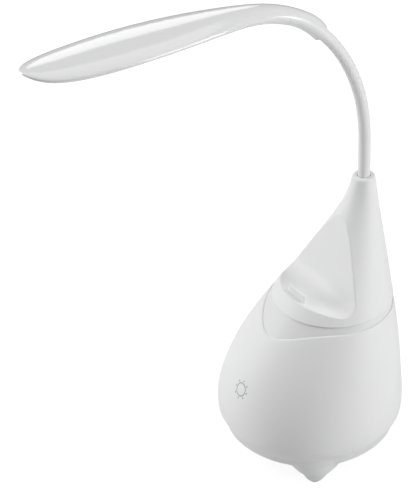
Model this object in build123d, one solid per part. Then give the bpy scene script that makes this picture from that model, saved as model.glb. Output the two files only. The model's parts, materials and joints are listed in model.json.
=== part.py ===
from build123d import *
import math
import os

# LED desk lamp with a leaning drop-shaped body on three feet, a telephone rest scooped
# into its top cover, and a gooseneck that carries a long leaf-shaped lamp head.
# Frame: millimetres, +Z up, the front of the lamp looks along -Y. Every piece is drawn
# about the upright axis of the body's round foot, and moved at the end so that the origin
# lies on the table at the middle of the rear foot's pad.

# ---------------------------------------------------------------- driving dimensions
# Body: level, radius and backward shift of its round sections, from the floor of the
# bottom shell up to the collar.
BODY_SECTIONS = [
    (9.0, 40.6, 0.0),
    (16.0, 52.1, 0.0),
    (26.0, 61.5, 0.0),
    (40.0, 65.0, 0.0),
    (60.0, 63.0, 1.7),
    (84.0, 56.9, 7.0),
    (110.0, 46.7, 15.4),
    (140.0, 32.8, 26.7),
    (172.0, 18.3, 37.9),
    (196.0, 9.9, 43.6),
    (208.0, 7.7, 44.6),
]
WALL = 2.0
SEAM_LEVEL = 34.7
COVER_LEVEL = 119.7
COLLAR_TOP = 207.6
COLLAR_ROUNDING = 1.8
COLLAR_DEPTH = 13.0

# Wavy upper edge of the lower shell, seen from the side: an arc that dips at the front,
# then a slow rise to the level of the back.
EDGE_ARC_RADIUS = 50.0
EDGE_ARC_TOP = (-5.0, 115.2)
EDGE_ARC_SWEEP = 45.0
EDGE_BACK = (35.0, 118.5)

# Band frame: the inner ring whose skin shows between the lower shell and the cover.
FRAME_WALL = 1.8
FRAME_FOOT_LEVEL = 98.0
FRAME_LIP = 1.5
FRAME_PLATE_LEVEL = 116.5
FRAME_PLATE = 2.0
FRAME_SCREW_YS = (6.0, 33.0)
FRAME_BOSS_DEPTH = 12.0
SHELL_CLEARANCE = 0.1

COVER_SCREWS = [(-20.0, 38.0), (20.0, 38.0), (0.0, -6.0)]

# Telephone rest: floor line, trough radius and back wall of the scoop, from the side.
SCOOP_LIP = (-15.7, 128.9)
SCOOP_TROUGH = (11.2, 122.9)
SCOOP_TOP = (26.0, 181.3)
SCOOP_RADIUS = 11.0
LEDGE_WIDTH = 18.6
LEDGE_HEIGHT = 6.4
LEDGE_THICKNESS = 1.8
LEDGE_BACKSET = 4.2

# Feet
FOOT_COUNT = 3
FOOT_CIRCLE = 46.3
FOOT_TIP_RADIUS = 4.4
FOOT_BELLY = (7.6, 4.2)
FOOT_NECK = (10.4, 8.4)
# Flare of a foot into the bowl: leaning rings, each by its inner and its outer edge as
# (distance from the body's axis, level).
FOOT_FLARE = [
    ((34.0, 8.8), (57.2, 11.5)),
    ((32.2, 8.95), (58.3, 16.5)),
    ((31.0, 9.4), (60.3, 24.2)),
]
PAD_RADIUS = 3.8
PAD_STANDOFF = 0.6
PAD_RECESS = 1.0

# Screws that close the body
SCREW_RADIUS = 1.5
SCREW_HEAD_RADIUS = 2.8
SCREW_HEAD_HEIGHT = 1.9
SCREW_LENGTH = 20.0
SCREW_HOLE_CLEARANCE = 0.2
SHORT_SCREW_LENGTH = 7.0
BOSS_WALL = 2.4
SCREW_SEAT_LEVEL = 16.0
BOSS_JOINT_LEVEL = 25.0

# Neck: a chain of ball links in a soft skin; bend of each link at rest, in degrees.
NECK_RADIUS = 4.15
NECK_LINK_RADIUS = 3.45
NECK_Y = 44.6
FIRST_JOINT_LEVEL = 214.0
LINK_PITCH = 17.0
LINK_BENDS = [0.0, 4.5, 7.2, 7.2, 7.2, 7.0, 8.5]
BALL_RADIUS = 2.7
BALL_CLEARANCE = 0.06
STEM_RADIUS = 1.6
SOCKET_LIP = 1.0
WIRE_BORE = 0.8
SKIN_GAP = 0.3
SKIN_BALL = 4.6
FERRULE_TAIL = 34.0
NUT_FLATS = 11.0
NUT_HEIGHT = 4.0
COLLAR_PLAY = 0.3
HEAD_TAIL = 24.0
HEAD_TAIL_BEND = 9.0
HEAD_SKIN_LENGTH = 11.0

# Lamp head: y, z, half width, crown above and belly below the parting line.
HEAD_STATIONS = [
    (7.2, 330.2, 6.4, 5.9, 6.0),
    (-7.8, 344.0, 6.4, 5.9, 6.0),
    (-25.0, 352.9, 7.0, 6.0, 6.2),
    (-45.0, 358.6, 9.6, 6.1, 6.1),
    (-65.0, 361.4, 13.8, 5.6, 5.6),
    (-95.0, 363.6, 19.0, 5.1, 5.2),
    (-130.0, 365.0, 21.8, 5.0, 5.4),
    (-165.0, 365.6, 21.3, 5.2, 4.9),
    (-188.0, 366.6, 18.0, 4.8, 3.9),
    (-201.0, 368.2, 13.0, 3.7, 2.7),
    (-208.0, 370.0, 6.8, 2.0, 1.4),
    (-210.6, 371.0, 2.0, 0.6, 0.5),
]
HEAD_WALL = 1.5
CLAMP_END_Y = -20.0
WINDOW_FRONT_Y = -194.0
WINDOW_BACK_Y = -62.0
WINDOW_RIM = 4.6
WINDOW_CLEARANCE = 0.15
SOLID_TIP = -2
PARTING_SPACE = (60.0, 14.0)
LED_BOARD_THICKNESS = 1.2
LED_BOARD_RIM = 6.2
LED_BOARD_FRONT = (-188.0, 367.3)
LED_BOARD_BACK = (-65.0, 362.1)
LED_POST_YS = (-80.0, -130.0, -180.0)
LED_POST_RADIUS = 2.0
LED_SCREW_RADIUS = 0.9
LED_SCREW_HEAD = (1.7, 0.9)
LED_SCREW_LENGTH = 2.4
LED_ROWS = 2
LED_COLUMNS = 12
LED_PITCH = 9.0
LED_ROW_GAP = 11.0
LED_SIZE = (3.5, 2.8, 0.7)

# Loudspeaker under the body, firing at the table
SPEAKER_RADIUS = 20.5
SPEAKER_FLANGE = 1.2
SPEAKER_DEPTH = 13.0
SPEAKER_SCREW_CIRCLE = 19.0
SPEAKER_SCREW_RADIUS = 0.9
SPEAKER_SCREW_HEAD = (1.5, 0.9)
GASKET = 0.8
SURROUND_OUTER = 17.2
CONE_RADIUS = 14.4
CONE_THICKNESS = 0.6
VOICE_COIL_RADIUS = 5.5
VOICE_COIL_LENGTH = 8.0
COIL_GAP = 0.5
MAGNET_RADIUS = 14.0
MAGNET_HEIGHT = 8.0
YOKE_THICKNESS = 2.5
BASKET_WALL = 1.0
BASKET_WINDOWS = 4
GRILLE_HOLE_RADIUS = 1.3
GRILLE_PITCH = 4.4
GRILLE_RINGS = 3

# Weight, cell and boards
SEAT_GAP = 0.3
BALLAST_HEIGHT = 6.0
CELL_RADIUS = 9.2
CELL_LENGTH = 65.0
CELL_CAP = (3.0, 1.2)
CELL_Y = -30.2
TRAY_WALL = 1.5
TRAY_PLAY = 0.25
BOARD_SIZE = (52.0, 38.0, 1.6)
BOARD_FRONT_Y = 26.0
BOARD_LEVEL = 42.8
BOARD_SCREW_X = 21.0
BOARD_SCREW_Y = 51.0
CHIPS = [
    (0.0, 34.0, 9.0, 9.0, 1.2),
    (-15.0, 32.0, 6.0, 5.0, 1.6),
    (14.0, 35.0, 7.0, 7.0, 3.2),
    (-2.0, 46.0, 5.0, 4.0, 1.4),
]
SOCKET_X = -10.0
SOCKET_SIZE = (7.6, 6.4, 2.8)
SOCKET_LINING = 0.4
SOCKET_INSET = 0.6
SOCKET_TONGUE = 0.7
SWITCH_X = 10.0
SWITCH_BODY = (8.6, 4.4, 3.6)
SWITCH_KNOB = (2.4, 1.9)
SWITCH_STEM = (1.2, 1.2, 1.6)
SWITCH_TRAVEL = 2.0
SWITCH_REACH = 1.1
WINDOW_PLAY = 0.35

# Touch key behind the front of the lower shell
TOUCH_LEVEL = 68.6
TOUCH_LEAN = 23.5
TOUCH_RADIUS = 9.0
TOUCH_FOIL = 0.4
TOUCH_SETBACK = 0.9
TOUCH_BOARD_RADIUS = 12.5
TOUCH_BOARD = 1.2
TOUCH_SCREW_X = 10.6
TOUCH_SCREW_RADIUS = 0.8
TOUCH_SCREW_HEAD = (1.5, 0.8)
TOUCH_BOSS_RADIUS = 1.6

REACH = 400.0


# ---------------------------------------------------------------- shared forms
def body_form(inset):
    """Leaning drop: a smooth loft through its round sections, drawn in by an inset."""
    rings = [
        Pos(0, shift, level) * Circle(radius - inset)
        for level, radius, shift in BODY_SECTIONS
    ]
    return loft(rings)


def body_radius(level):
    """Radius and backward shift of the body at a level, between two sections."""
    for low, high in zip(BODY_SECTIONS, BODY_SECTIONS[1:]):
        if low[0] <= level <= high[0]:
            share = (level - low[0]) / (high[0] - low[0])
            radius = low[1] + share * (high[1] - low[1])
            return radius, low[2] + share * (high[2] - low[2])
    raise ValueError("level outside the body")


def slab(bottom, top):
    """Everything between two levels."""
    return Pos(0, 0, bottom) * Box(
        REACH, REACH, top - bottom, align=(Align.CENTER, Align.CENTER, Align.MIN)
    )


def side_cut(edges):
    """Prism across the lamp from a closed outline drawn as (y, z)."""
    return extrude(Plane.YZ * make_face(edges), amount=REACH / 2, both=True)


def upright(radius, bottom, top, x=0.0, y=0.0):
    """Upright cylinder between two levels."""
    return Pos(x, y, bottom) * Cylinder(
        radius, top - bottom, align=(Align.CENTER, Align.CENTER, Align.MIN)
    )


def foot_places():
    """Foot centres: two beside the front and one at the back."""
    for number in range(FOOT_COUNT):
        angle = math.radians(90.0 + 360.0 * number / FOOT_COUNT)
        yield FOOT_CIRCLE * math.cos(angle), FOOT_CIRCLE * math.sin(angle)


def screw_up(length, x, y, seat):
    """Pan-head screw that points up, its head under the seat level."""
    head = upright(SCREW_HEAD_RADIUS, seat - SCREW_HEAD_HEIGHT, seat, x, y)
    head = fillet(head.edges().group_by(Axis.Z)[0], SCREW_HEAD_HEIGHT / 3)
    return head + upright(SCREW_RADIUS, seat, seat + length, x, y)


def screw_down(length, x, y, seat):
    """Pan-head screw that points down, its head on the seat level."""
    head = upright(SCREW_HEAD_RADIUS, seat, seat + SCREW_HEAD_HEIGHT, x, y)
    head = fillet(head.edges().group_by(Axis.Z)[-1], SCREW_HEAD_HEIGHT / 3)
    return head + upright(SCREW_RADIUS, seat - length, seat, x, y)


OUTER = body_form(0.0)
MIDDLE = body_form(WALL / 2)
INNER = body_form(WALL)
LINING = body_form(WALL + SHELL_CLEARANCE)
FLOOR_LEVEL = BODY_SECTIONS[0][0]
FLOOR_TOP = FLOOR_LEVEL + WALL


# ---------------------------------------------------------------- bottom shell and feet
BOSS_RADIUS = SCREW_HEAD_RADIUS + BOSS_WALL
SHANK_HOLE = SCREW_RADIUS + SCREW_HOLE_CLEARANCE
HEAD_HOLE = SCREW_HEAD_RADIUS + SCREW_HOLE_CLEARANCE


def foot_form(x, y):
    """Blunt cone, revolved about its own upright axis."""
    tip = (FOOT_TIP_RADIUS, PAD_STANDOFF)
    top = (0, FOOT_NECK[1])
    outline = make_face(
        [
            Line((0, PAD_STANDOFF), tip),
            Line(tip, FOOT_BELLY),
            Line(FOOT_BELLY, FOOT_NECK),
            Line(FOOT_NECK, top),
            Line(top, (0, PAD_STANDOFF)),
        ]
    )
    return Pos(x, y, 0) * revolve(Plane.XZ * outline, Axis.Z)


def foot_flare(x, y):
    """Loft from a foot's neck through leaning rings that run into the bowl's side."""
    rings = [Pos(FOOT_CIRCLE, 0, FOOT_NECK[1]) * Circle(FOOT_NECK[0])]
    for inner, outer in FOOT_FLARE:
        across = Line((inner[0], 0, inner[1]), (outer[0], 0, outer[1]))
        along = across % 0.5
        lean = Plane(origin=across @ 0.5, x_dir=along, z_dir=(-along.Z, 0, along.X))
        rings.append(lean * Circle(across.length / 2))
    return Rot(0, 0, math.degrees(math.atan2(y, x))) * loft(rings)


def grille_places():
    """Rings of holes round a centre hole."""
    yield 0.0, 0.0
    for ring in range(1, GRILLE_RINGS + 1):
        count = 6 * ring
        for number in range(count):
            angle = 2 * math.pi * number / count
            yield ring * GRILLE_PITCH * math.cos(angle), ring * GRILLE_PITCH * math.sin(angle)


def bottom_shell():
    dish = OUTER & slab(FLOOR_LEVEL, SEAM_LEVEL)
    room = INNER & slab(FLOOR_TOP, SEAM_LEVEL)
    feet = [foot_form(x, y) for x, y in foot_places()]
    feet += [foot_flare(x, y) for x, y in foot_places()]
    bosses = [
        upright(BOSS_RADIUS, FLOOR_TOP, BOSS_JOINT_LEVEL, x, y) for x, y in foot_places()
    ]
    shell = dish + feet - room + bosses
    wells = []
    for x, y in foot_places():
        wells.append(upright(HEAD_HOLE, 0.0, SCREW_SEAT_LEVEL, x, y))
        wells.append(upright(SHANK_HOLE, SCREW_SEAT_LEVEL, BOSS_JOINT_LEVEL, x, y))
        wells.append(upright(PAD_RADIUS, 0.0, PAD_STANDOFF + PAD_RECESS, x, y))
    floor = Pos(0, 0, FLOOR_LEVEL) * Cylinder(
        SPEAKER_RADIUS, WALL, align=(Align.CENTER, Align.CENTER, Align.MIN)
    )
    holes = Sketch() + [Pos(x, y) * Circle(GRILLE_HOLE_RADIUS) for x, y in grille_places()]
    grille = floor - extrude(Pos(0, 0, FLOOR_LEVEL) * holes, amount=WALL)
    return shell - wells - floor + grille


def foot_pads():
    """Soft pads pressed into the foot tips, each with a plug in the screw well."""
    pads = []
    for x, y in foot_places():
        disc = upright(PAD_RADIUS, 0.0, PAD_STANDOFF + PAD_RECESS, x, y)
        disc = chamfer(disc.edges().group_by(Axis.Z)[0], PAD_STANDOFF / 2)
        plug = upright(SCREW_HEAD_RADIUS, PAD_STANDOFF + PAD_RECESS, FOOT_BELLY[1], x, y)
        pads.append(disc + plug)
    return Compound(children=pads)


def body_screws():
    return Compound(
        children=[screw_up(SCREW_LENGTH, x, y, SCREW_SEAT_LEVEL) for x, y in foot_places()]
    )


# ---------------------------------------------------------------- lower shell
def above_edge():
    """Everything above the wavy upper edge of the lower shell."""
    top_y, top_z = EDGE_ARC_TOP
    arc = CenterArc((top_y, top_z - EDGE_ARC_RADIUS), EDGE_ARC_RADIUS, 90, EDGE_ARC_SWEEP)
    front = arc @ 1
    half = REACH / 2
    return side_cut(
        [
            arc,
            Polyline(
                arc @ 0,
                EDGE_BACK,
                (half, EDGE_BACK[1]),
                (half, REACH),
                (-half, REACH),
                (-half, front.Y),
                front,
            ),
        ]
    )


def wall_boss(x, y, bottom, top, centre_y):
    """Screw boss with a rib out to the wall, kept inside the skin."""
    out = math.degrees(math.atan2(y - centre_y, x))
    rib = Pos(x, y, (bottom + top) / 2) * Rot(0, 0, out) * Box(
        REACH / 8, BOSS_WALL, top - bottom, align=(Align.MIN, Align.CENTER, Align.CENTER)
    )
    boss = upright(SCREW_RADIUS + BOSS_WALL, bottom, top, x, y)
    return (boss + rib) & MIDDLE


def frame_screw_places():
    """Screw places just inside the frame's wall, beside the middle and behind it."""
    radius, shift = body_radius(COVER_LEVEL + FRAME_LIP)
    reach = radius - WALL - FRAME_WALL - SCREW_HEAD_RADIUS - SEAT_GAP
    for side in (-1, 1):
        for y in FRAME_SCREW_YS:
            yield side * math.sqrt(reach**2 - (y - shift) ** 2), y


def frame_bosses():
    shift = body_radius(FRAME_PLATE_LEVEL)[1]
    low = FRAME_PLATE_LEVEL - FRAME_BOSS_DEPTH
    return [wall_boss(x, y, low, FRAME_PLATE_LEVEL, shift) for x, y in frame_screw_places()]


def frame_notches():
    """Room in the frame's wall for the bosses and their ribs."""
    shift = body_radius(FRAME_PLATE_LEVEL)[1]
    low = FRAME_PLATE_LEVEL - FRAME_BOSS_DEPTH - SEAT_GAP
    notches = []
    for x, y in frame_screw_places():
        radius = SCREW_RADIUS + BOSS_WALL + SEAT_GAP
        notches.append(upright(radius, low, FRAME_PLATE_LEVEL, x, y))
        out = math.degrees(math.atan2(y - shift, x))
        rib = Box(
            REACH / 20,
            BOSS_WALL + 2 * SEAT_GAP,
            FRAME_PLATE_LEVEL - low,
            align=(Align.MIN, Align.CENTER, Align.MIN),
        )
        notches.append(Pos(x, y, low) * Rot(0, 0, out) * rib)
    return notches


def touch_plane(depth):
    """Plane behind the touch mark, facing out of the front, at a depth under the skin."""
    radius, shift = body_radius(TOUCH_LEVEL)
    lean = math.radians(TOUCH_LEAN)
    out = Vector(0, -math.cos(lean), math.sin(lean))
    skin = Vector(0, shift - radius, TOUCH_LEVEL)
    return Plane(origin=skin - out * depth, x_dir=(1, 0, 0), z_dir=out)


def back_wall_y(x, inset=0.0):
    """Where the skin behind the boards lies, at their level."""
    radius, shift = body_radius(BOARD_LEVEL)
    return shift + math.sqrt((radius - inset) ** 2 - x**2)


SOCKET_LEVEL = BOARD_LEVEL + SOCKET_SIZE[2] / 2
SWITCH_LEVEL = BOARD_LEVEL + SWITCH_BODY[2] / 2


def touch_bosses():
    """Two small bosses behind the front skin that carry the touch board."""
    face = touch_plane(WALL + TOUCH_SETBACK + TOUCH_FOIL)
    bosses = []
    for side in (-1, 1):
        foot = face * Pos(side * TOUCH_SCREW_X, 0) * Circle(TOUCH_BOSS_RADIUS)
        bosses.append(extrude(foot, amount=2 * WALL) & MIDDLE)
    return bosses


def touch_holes():
    face = touch_plane(WALL + TOUCH_SETBACK + TOUCH_FOIL)
    hole = Circle(TOUCH_SCREW_RADIUS)
    return [
        extrude(face * Pos(side * TOUCH_SCREW_X, 0) * hole, amount=WALL / 2)
        for side in (-1, 1)
    ]


def lower_shell():
    shell = (OUTER - INNER) & slab(SEAM_LEVEL, COVER_LEVEL)
    shell -= above_edge()
    bosses = frame_bosses() + touch_bosses()
    holes = touch_holes()
    inside = LINING - slab(SEAM_LEVEL, COVER_LEVEL) + (MIDDLE & slab(SEAM_LEVEL, COVER_LEVEL))
    for x, y in foot_places():
        boss = wall_boss(x, y, BOSS_JOINT_LEVEL, BOARD_LEVEL - BOARD_SIZE[2] - WALL, 0.0)
        bosses.append(boss & inside)
        end = SCREW_SEAT_LEVEL + SCREW_LENGTH + WALL
        holes.append(upright(SCREW_RADIUS, BOSS_JOINT_LEVEL, end, x, y))
    for x, y in frame_screw_places():
        low = FRAME_PLATE_LEVEL - SHORT_SCREW_LENGTH
        holes.append(upright(SCREW_RADIUS, low, FRAME_PLATE_LEVEL, x, y))
    for x in (-BOARD_SCREW_X, BOARD_SCREW_X):
        top = BOARD_LEVEL + SHORT_SCREW_LENGTH
        bosses.append(wall_boss(x, BOARD_SCREW_Y, BOARD_LEVEL, top + WALL, 0.0))
        holes.append(upright(SCREW_RADIUS, BOARD_LEVEL, top, x, BOARD_SCREW_Y))
    socket_hole = Box(
        SOCKET_SIZE[0] + 2 * WINDOW_PLAY, 6 * WALL, SOCKET_SIZE[2] + 2 * WINDOW_PLAY
    )
    holes.append(Pos(SOCKET_X, back_wall_y(SOCKET_X), SOCKET_LEVEL) * socket_hole)
    slot = Box(
        SWITCH_KNOB[0] + SWITCH_TRAVEL + 2 * WINDOW_PLAY,
        6 * WALL,
        SWITCH_KNOB[1] + 2 * WINDOW_PLAY,
    )
    holes.append(Pos(SWITCH_X, back_wall_y(SWITCH_X), SWITCH_LEVEL) * slot)
    return shell + bosses - holes


# ---------------------------------------------------------------- band frame
def band_frame():
    high = COVER_LEVEL + FRAME_LIP
    wall = (LINING - body_form(WALL + SHELL_CLEARANCE + FRAME_WALL)) & slab(
        FRAME_FOOT_LEVEL, high
    )
    plate_top = FRAME_PLATE_LEVEL + FRAME_PLATE
    plate = LINING & slab(FRAME_PLATE_LEVEL, plate_top)
    places = list(frame_screw_places()) + COVER_SCREWS
    holes = [upright(SHANK_HOLE, FRAME_PLATE_LEVEL, plate_top, x, y) for x, y in places]
    holes.append(upright(2 * SCREW_HEAD_RADIUS, FRAME_PLATE_LEVEL, plate_top, 0.0, NECK_Y))
    return wall - frame_notches() + plate - holes


def frame_screws():
    seat = FRAME_PLATE_LEVEL + FRAME_PLATE
    return Compound(
        children=[
            screw_down(SHORT_SCREW_LENGTH, x, y, seat) for x, y in frame_screw_places()
        ]
    )


# ---------------------------------------------------------------- top cover
def scoop_face(margin):
    """Side outline of the space above the rest's floor and before its back wall."""
    rise = (SCOOP_LIP[1] - SCOOP_TROUGH[1]) / (SCOOP_LIP[0] - SCOOP_TROUGH[0])
    lean = (SCOOP_TOP[0] - SCOOP_TROUGH[0]) / (SCOOP_TOP[1] - SCOOP_TROUGH[1])
    front_y = -REACH / 4
    front = (front_y, SCOOP_TROUGH[1] + rise * (front_y - SCOOP_TROUGH[0]))
    top_z = COLLAR_TOP
    top = (SCOOP_TROUGH[0] + lean * (top_z - SCOOP_TROUGH[1]), top_z)
    outline = FilletPolyline(front, SCOOP_TROUGH, top, radius=SCOOP_RADIUS)
    lid = Polyline(outline @ 1, (front_y, top_z), outline @ 0)
    face = make_face([outline, lid])
    if margin:
        face = offset(face, amount=margin)
    return Plane.YZ * face


def top_cover():
    cap = OUTER & slab(COVER_LEVEL, COLLAR_TOP)
    cap = fillet(cap.edges().group_by(Axis.Z)[-1], COLLAR_ROUNDING)
    scoop = extrude(scoop_face(0.0), amount=REACH / 2, both=True)
    under = extrude(scoop_face(WALL), amount=REACH / 2, both=True)
    room = (INNER & slab(COVER_LEVEL, COLLAR_TOP - COLLAR_DEPTH)) - under
    seat = FRAME_PLATE_LEVEL + FRAME_PLATE
    bosses = []
    holes = []
    for x, y in COVER_SCREWS:
        boss = upright(SCREW_RADIUS + BOSS_WALL, seat, SCOOP_TOP[1], x, y)
        bosses.append((boss & MIDDLE) - scoop)
        top = seat + SHORT_SCREW_LENGTH - FRAME_PLATE / 2
        holes.append(upright(SCREW_RADIUS, seat, top, x, y))
    mouth = COLLAR_TOP - COLLAR_DEPTH / 2
    holes.append(upright(NECK_LINK_RADIUS + SHELL_CLEARANCE, COVER_LEVEL + COLLAR_DEPTH,
                         COLLAR_TOP, 0.0, NECK_Y))
    holes.append(upright(NECK_RADIUS + COLLAR_PLAY, mouth, COLLAR_TOP, 0.0, NECK_Y))
    return cap - scoop - room + bosses + stop_ledge() - holes


def stop_ledge():
    """Upright lip near the front of the rest that stops the telephone."""
    rise = (SCOOP_LIP[1] - SCOOP_TROUGH[1]) / (SCOOP_LIP[0] - SCOOP_TROUGH[0])
    y = SCOOP_LIP[0] + LEDGE_BACKSET
    floor = SCOOP_LIP[1] + rise * LEDGE_BACKSET
    ledge = Pos(0, y, floor - WALL / 2) * Box(
        LEDGE_WIDTH,
        LEDGE_THICKNESS,
        LEDGE_HEIGHT + WALL / 2,
        align=(Align.CENTER, Align.MIN, Align.MIN),
    )
    return fillet(ledge.edges().group_by(Axis.Z)[-1], LEDGE_THICKNESS / 4)


def cover_screws():
    length = SHORT_SCREW_LENGTH - FRAME_PLATE / 2
    return Compound(
        children=[
            screw_up(length, x, y, FRAME_PLATE_LEVEL) for x, y in COVER_SCREWS
        ]
    )


# ---------------------------------------------------------------- neck
def neck_planes():
    """Plane at each joint: origin on the neck's line, z along it, x across the lamp."""
    lean = 0.0
    y, z = NECK_Y, FIRST_JOINT_LEVEL
    planes = [joint_plane(y, z, lean)]
    for bend in LINK_BENDS:
        turn = math.radians(bend)
        if turn:
            radius = LINK_PITCH / turn
            y -= radius * (math.cos(lean) - math.cos(lean + turn))
            z += radius * (math.sin(lean + turn) - math.sin(lean))
        else:
            z += LINK_PITCH
        lean += turn
        planes.append(joint_plane(y, z, lean))
    return planes


def joint_plane(y, z, lean):
    along = (0, -math.sin(lean), math.cos(lean))
    return Plane(origin=(0, y, z), x_dir=(1, 0, 0), z_dir=along)


def run_between(start, end, radius, before=0.0, after=0.0):
    """Round bar from one joint plane to the next, with straight ends past both."""
    path = bar_path(start, end)
    bar = sweep(start * Circle(radius), path=path)
    if before:
        bar += extrude(start * Circle(radius), amount=-before)
    if after:
        bar += extrude(end * Circle(radius), amount=after)
    return bar


def bar_path(start, end):
    if start.z_dir.get_angle(end.z_dir) < 0.01:
        return Line(start.origin, end.origin)
    return TangentArc(start.origin, end.origin, tangent=start.z_dir)


def ball_at(plane, radius):
    return Pos(plane.origin) * Sphere(radius)


def link_ball(plane, reach):
    """Ball and stem at the lower end of a link."""
    stem = extrude(plane * Circle(STEM_RADIUS), amount=reach)
    return ball_at(plane, BALL_RADIUS) + stem


def socket_cut(plane):
    """Room for the next ball, open above its lip."""
    mouth = plane.offset(SOCKET_LIP)
    return ball_at(plane, BALL_RADIUS + BALL_CLEARANCE) + extrude(
        mouth * Circle(NECK_RADIUS), amount=LINK_PITCH / 2
    )


SKIN_SEAT = SKIN_BALL + SKIN_GAP


def neck_link(start, end):
    body = run_between(start, end, NECK_LINK_RADIUS, after=SOCKET_LIP)
    body -= ball_at(start, SKIN_SEAT)
    body += link_ball(start, SKIN_SEAT + STEM_RADIUS)
    body -= socket_cut(end)
    return body - run_between(start, end, WIRE_BORE, before=BALL_RADIUS)


def neck_skin(start, end):
    tube = run_between(start, end, NECK_RADIUS, after=SKIN_BALL)
    tube -= run_between(start, end, NECK_LINK_RADIUS, after=SKIN_BALL)
    tube -= ball_at(start, SKIN_SEAT)
    cap = extrude(end * Circle(NECK_RADIUS * 2), amount=SKIN_BALL) - ball_at(end, SKIN_BALL)
    return tube - cap


def base_ferrule(first):
    """Threaded tail of the neck, clamped in the collar, with the first socket on top."""
    bottom = first.origin.Z - FERRULE_TAIL
    tail = upright(NECK_LINK_RADIUS, bottom, first.origin.Z + SOCKET_LIP, 0.0, NECK_Y)
    tail -= socket_cut(first)
    return tail - upright(WIRE_BORE, bottom, first.origin.Z, 0.0, NECK_Y)


def base_skin(first):
    """Lower end of the soft skin, standing in the collar."""
    low = COLLAR_TOP - COLLAR_DEPTH / 2
    high = first.origin.Z + SKIN_BALL
    tube = upright(NECK_RADIUS, low, high, 0.0, NECK_Y)
    tube -= upright(NECK_LINK_RADIUS, low, high, 0.0, NECK_Y)
    cap = upright(NECK_RADIUS * 2, first.origin.Z, high, 0.0, NECK_Y)
    return tube - (cap - ball_at(first, SKIN_BALL))


def neck_nut():
    """Hexagon nut that draws the tail down in the collar."""
    top = COLLAR_TOP - COLLAR_DEPTH
    hexagon = RegularPolygon(NUT_FLATS / 2, 6, major_radius=False)
    nut = extrude(Pos(0, NECK_Y, top - NUT_HEIGHT) * hexagon, amount=NUT_HEIGHT)
    return nut - upright(NECK_LINK_RADIUS, 0.0, top, 0.0, NECK_Y)


# ---------------------------------------------------------------- lamp head
def head_planes():
    """Section planes square to the parting line, from the neck to the tip."""
    places = [(station[0], station[1]) for station in HEAD_STATIONS]
    planes = []
    for number, (y, z) in enumerate(places):
        before = places[max(number - 1, 0)]
        after = places[min(number + 1, len(places) - 1)]
        along = (0, after[0] - before[0], after[1] - before[1])
        planes.append(Plane(origin=(0, y, z), x_dir=(1, 0, 0), z_dir=along))
    return planes


def head_section(width, crown, belly):
    """Two half ellipses that meet on the parting line."""
    over = EllipticalCenterArc((0, 0), width, crown, 0, arc_size=180)
    under = EllipticalCenterArc((0, 0), width, belly, 180, arc_size=180)
    return make_face([over, under])


def head_form():
    faces = [
        plane * head_section(width, crown, belly)
        for plane, (_, _, width, crown, belly) in zip(head_planes(), HEAD_STATIONS)
    ]
    return loft(faces)


def head_room():
    """Hollow of the head, a wall inside its skin, short of the solid tip."""
    hollow = list(zip(head_planes(), HEAD_STATIONS))[:SOLID_TIP]
    return loft(
        [
            plane * head_section(width - HEAD_WALL, crown - HEAD_WALL, belly - HEAD_WALL)
            for plane, (_, _, width, crown, belly) in hollow
        ]
    )


def over_parting():
    """Everything over the head's parting line."""
    width, height = PARTING_SPACE
    block = Pos(0, height / 2) * Rectangle(width, height)
    return loft([plane * block for plane in head_planes()])


def behind(y):
    """Everything between a cross plane of the head and the neck."""
    return Pos(0, y, 0) * Box(
        REACH, REACH, 2 * REACH, align=(Align.CENTER, Align.MIN, Align.CENTER)
    )


def board_plane():
    """Underside of the LED board, facing up."""
    back_y, back_z = LED_BOARD_BACK
    front_y, front_z = LED_BOARD_FRONT
    along = Vector(0, front_y - back_y, front_z - back_z).normalized()
    return Plane(origin=(0, back_y, back_z), x_dir=(1, 0, 0), z_dir=(0, along.Z, -along.Y))


def board_height(y):
    back_y, back_z = LED_BOARD_BACK
    front_y, front_z = LED_BOARD_FRONT
    return back_z + (front_z - back_z) * (y - back_y) / (front_y - back_y)


def head_top():
    half = head_form() & over_parting()
    posts = []
    holes = []
    for y in LED_POST_YS:
        seat = board_height(y) + LED_BOARD_THICKNESS + SHELL_CLEARANCE
        posts.append(upright(LED_POST_RADIUS, seat, seat + 2 * HEAD_WALL, 0.0, y) & half)
        end = board_height(y) + LED_SCREW_LENGTH
        holes.append(upright(LED_SCREW_RADIUS, seat, end, 0.0, y))
    return half - head_room() + posts - holes


def window_outline(rim):
    """Leaf-shaped window: points a rim inside the head's edge, as a closed curve."""
    inside = [s for s in HEAD_STATIONS if WINDOW_FRONT_Y < s[0] < WINDOW_BACK_Y]
    right = [(s[2] - rim, s[0]) for s in inside]
    left = [(-x, y) for x, y in reversed(right)]
    front = (0.0, WINDOW_FRONT_Y + rim - WINDOW_RIM)
    back = (0.0, WINDOW_BACK_Y - rim + WINDOW_RIM)
    outline = Spline(back, *right, front, *left, periodic=True)
    return make_face([outline])


def window_prism(rim):
    return extrude(window_outline(rim), amount=2 * REACH)


def bottom_half():
    return head_form() - head_room() - over_parting()


def head_bottom(half):
    return half - behind(CLAMP_END_Y) - window_prism(WINDOW_RIM)


def head_clamp(half):
    return half & behind(CLAMP_END_Y + WINDOW_CLEARANCE)


def diffuser(half):
    return half & window_prism(WINDOW_RIM + WINDOW_CLEARANCE)


def led_board():
    layer = extrude(board_plane() * Rectangle(REACH, 2 * REACH), amount=LED_BOARD_THICKNESS)
    plate = window_prism(LED_BOARD_RIM) & layer
    holes = [
        upright(LED_SCREW_RADIUS + SHELL_CLEARANCE, 0.0, 2 * REACH, 0.0, y)
        for y in LED_POST_YS
    ]
    return plate - holes


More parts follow.
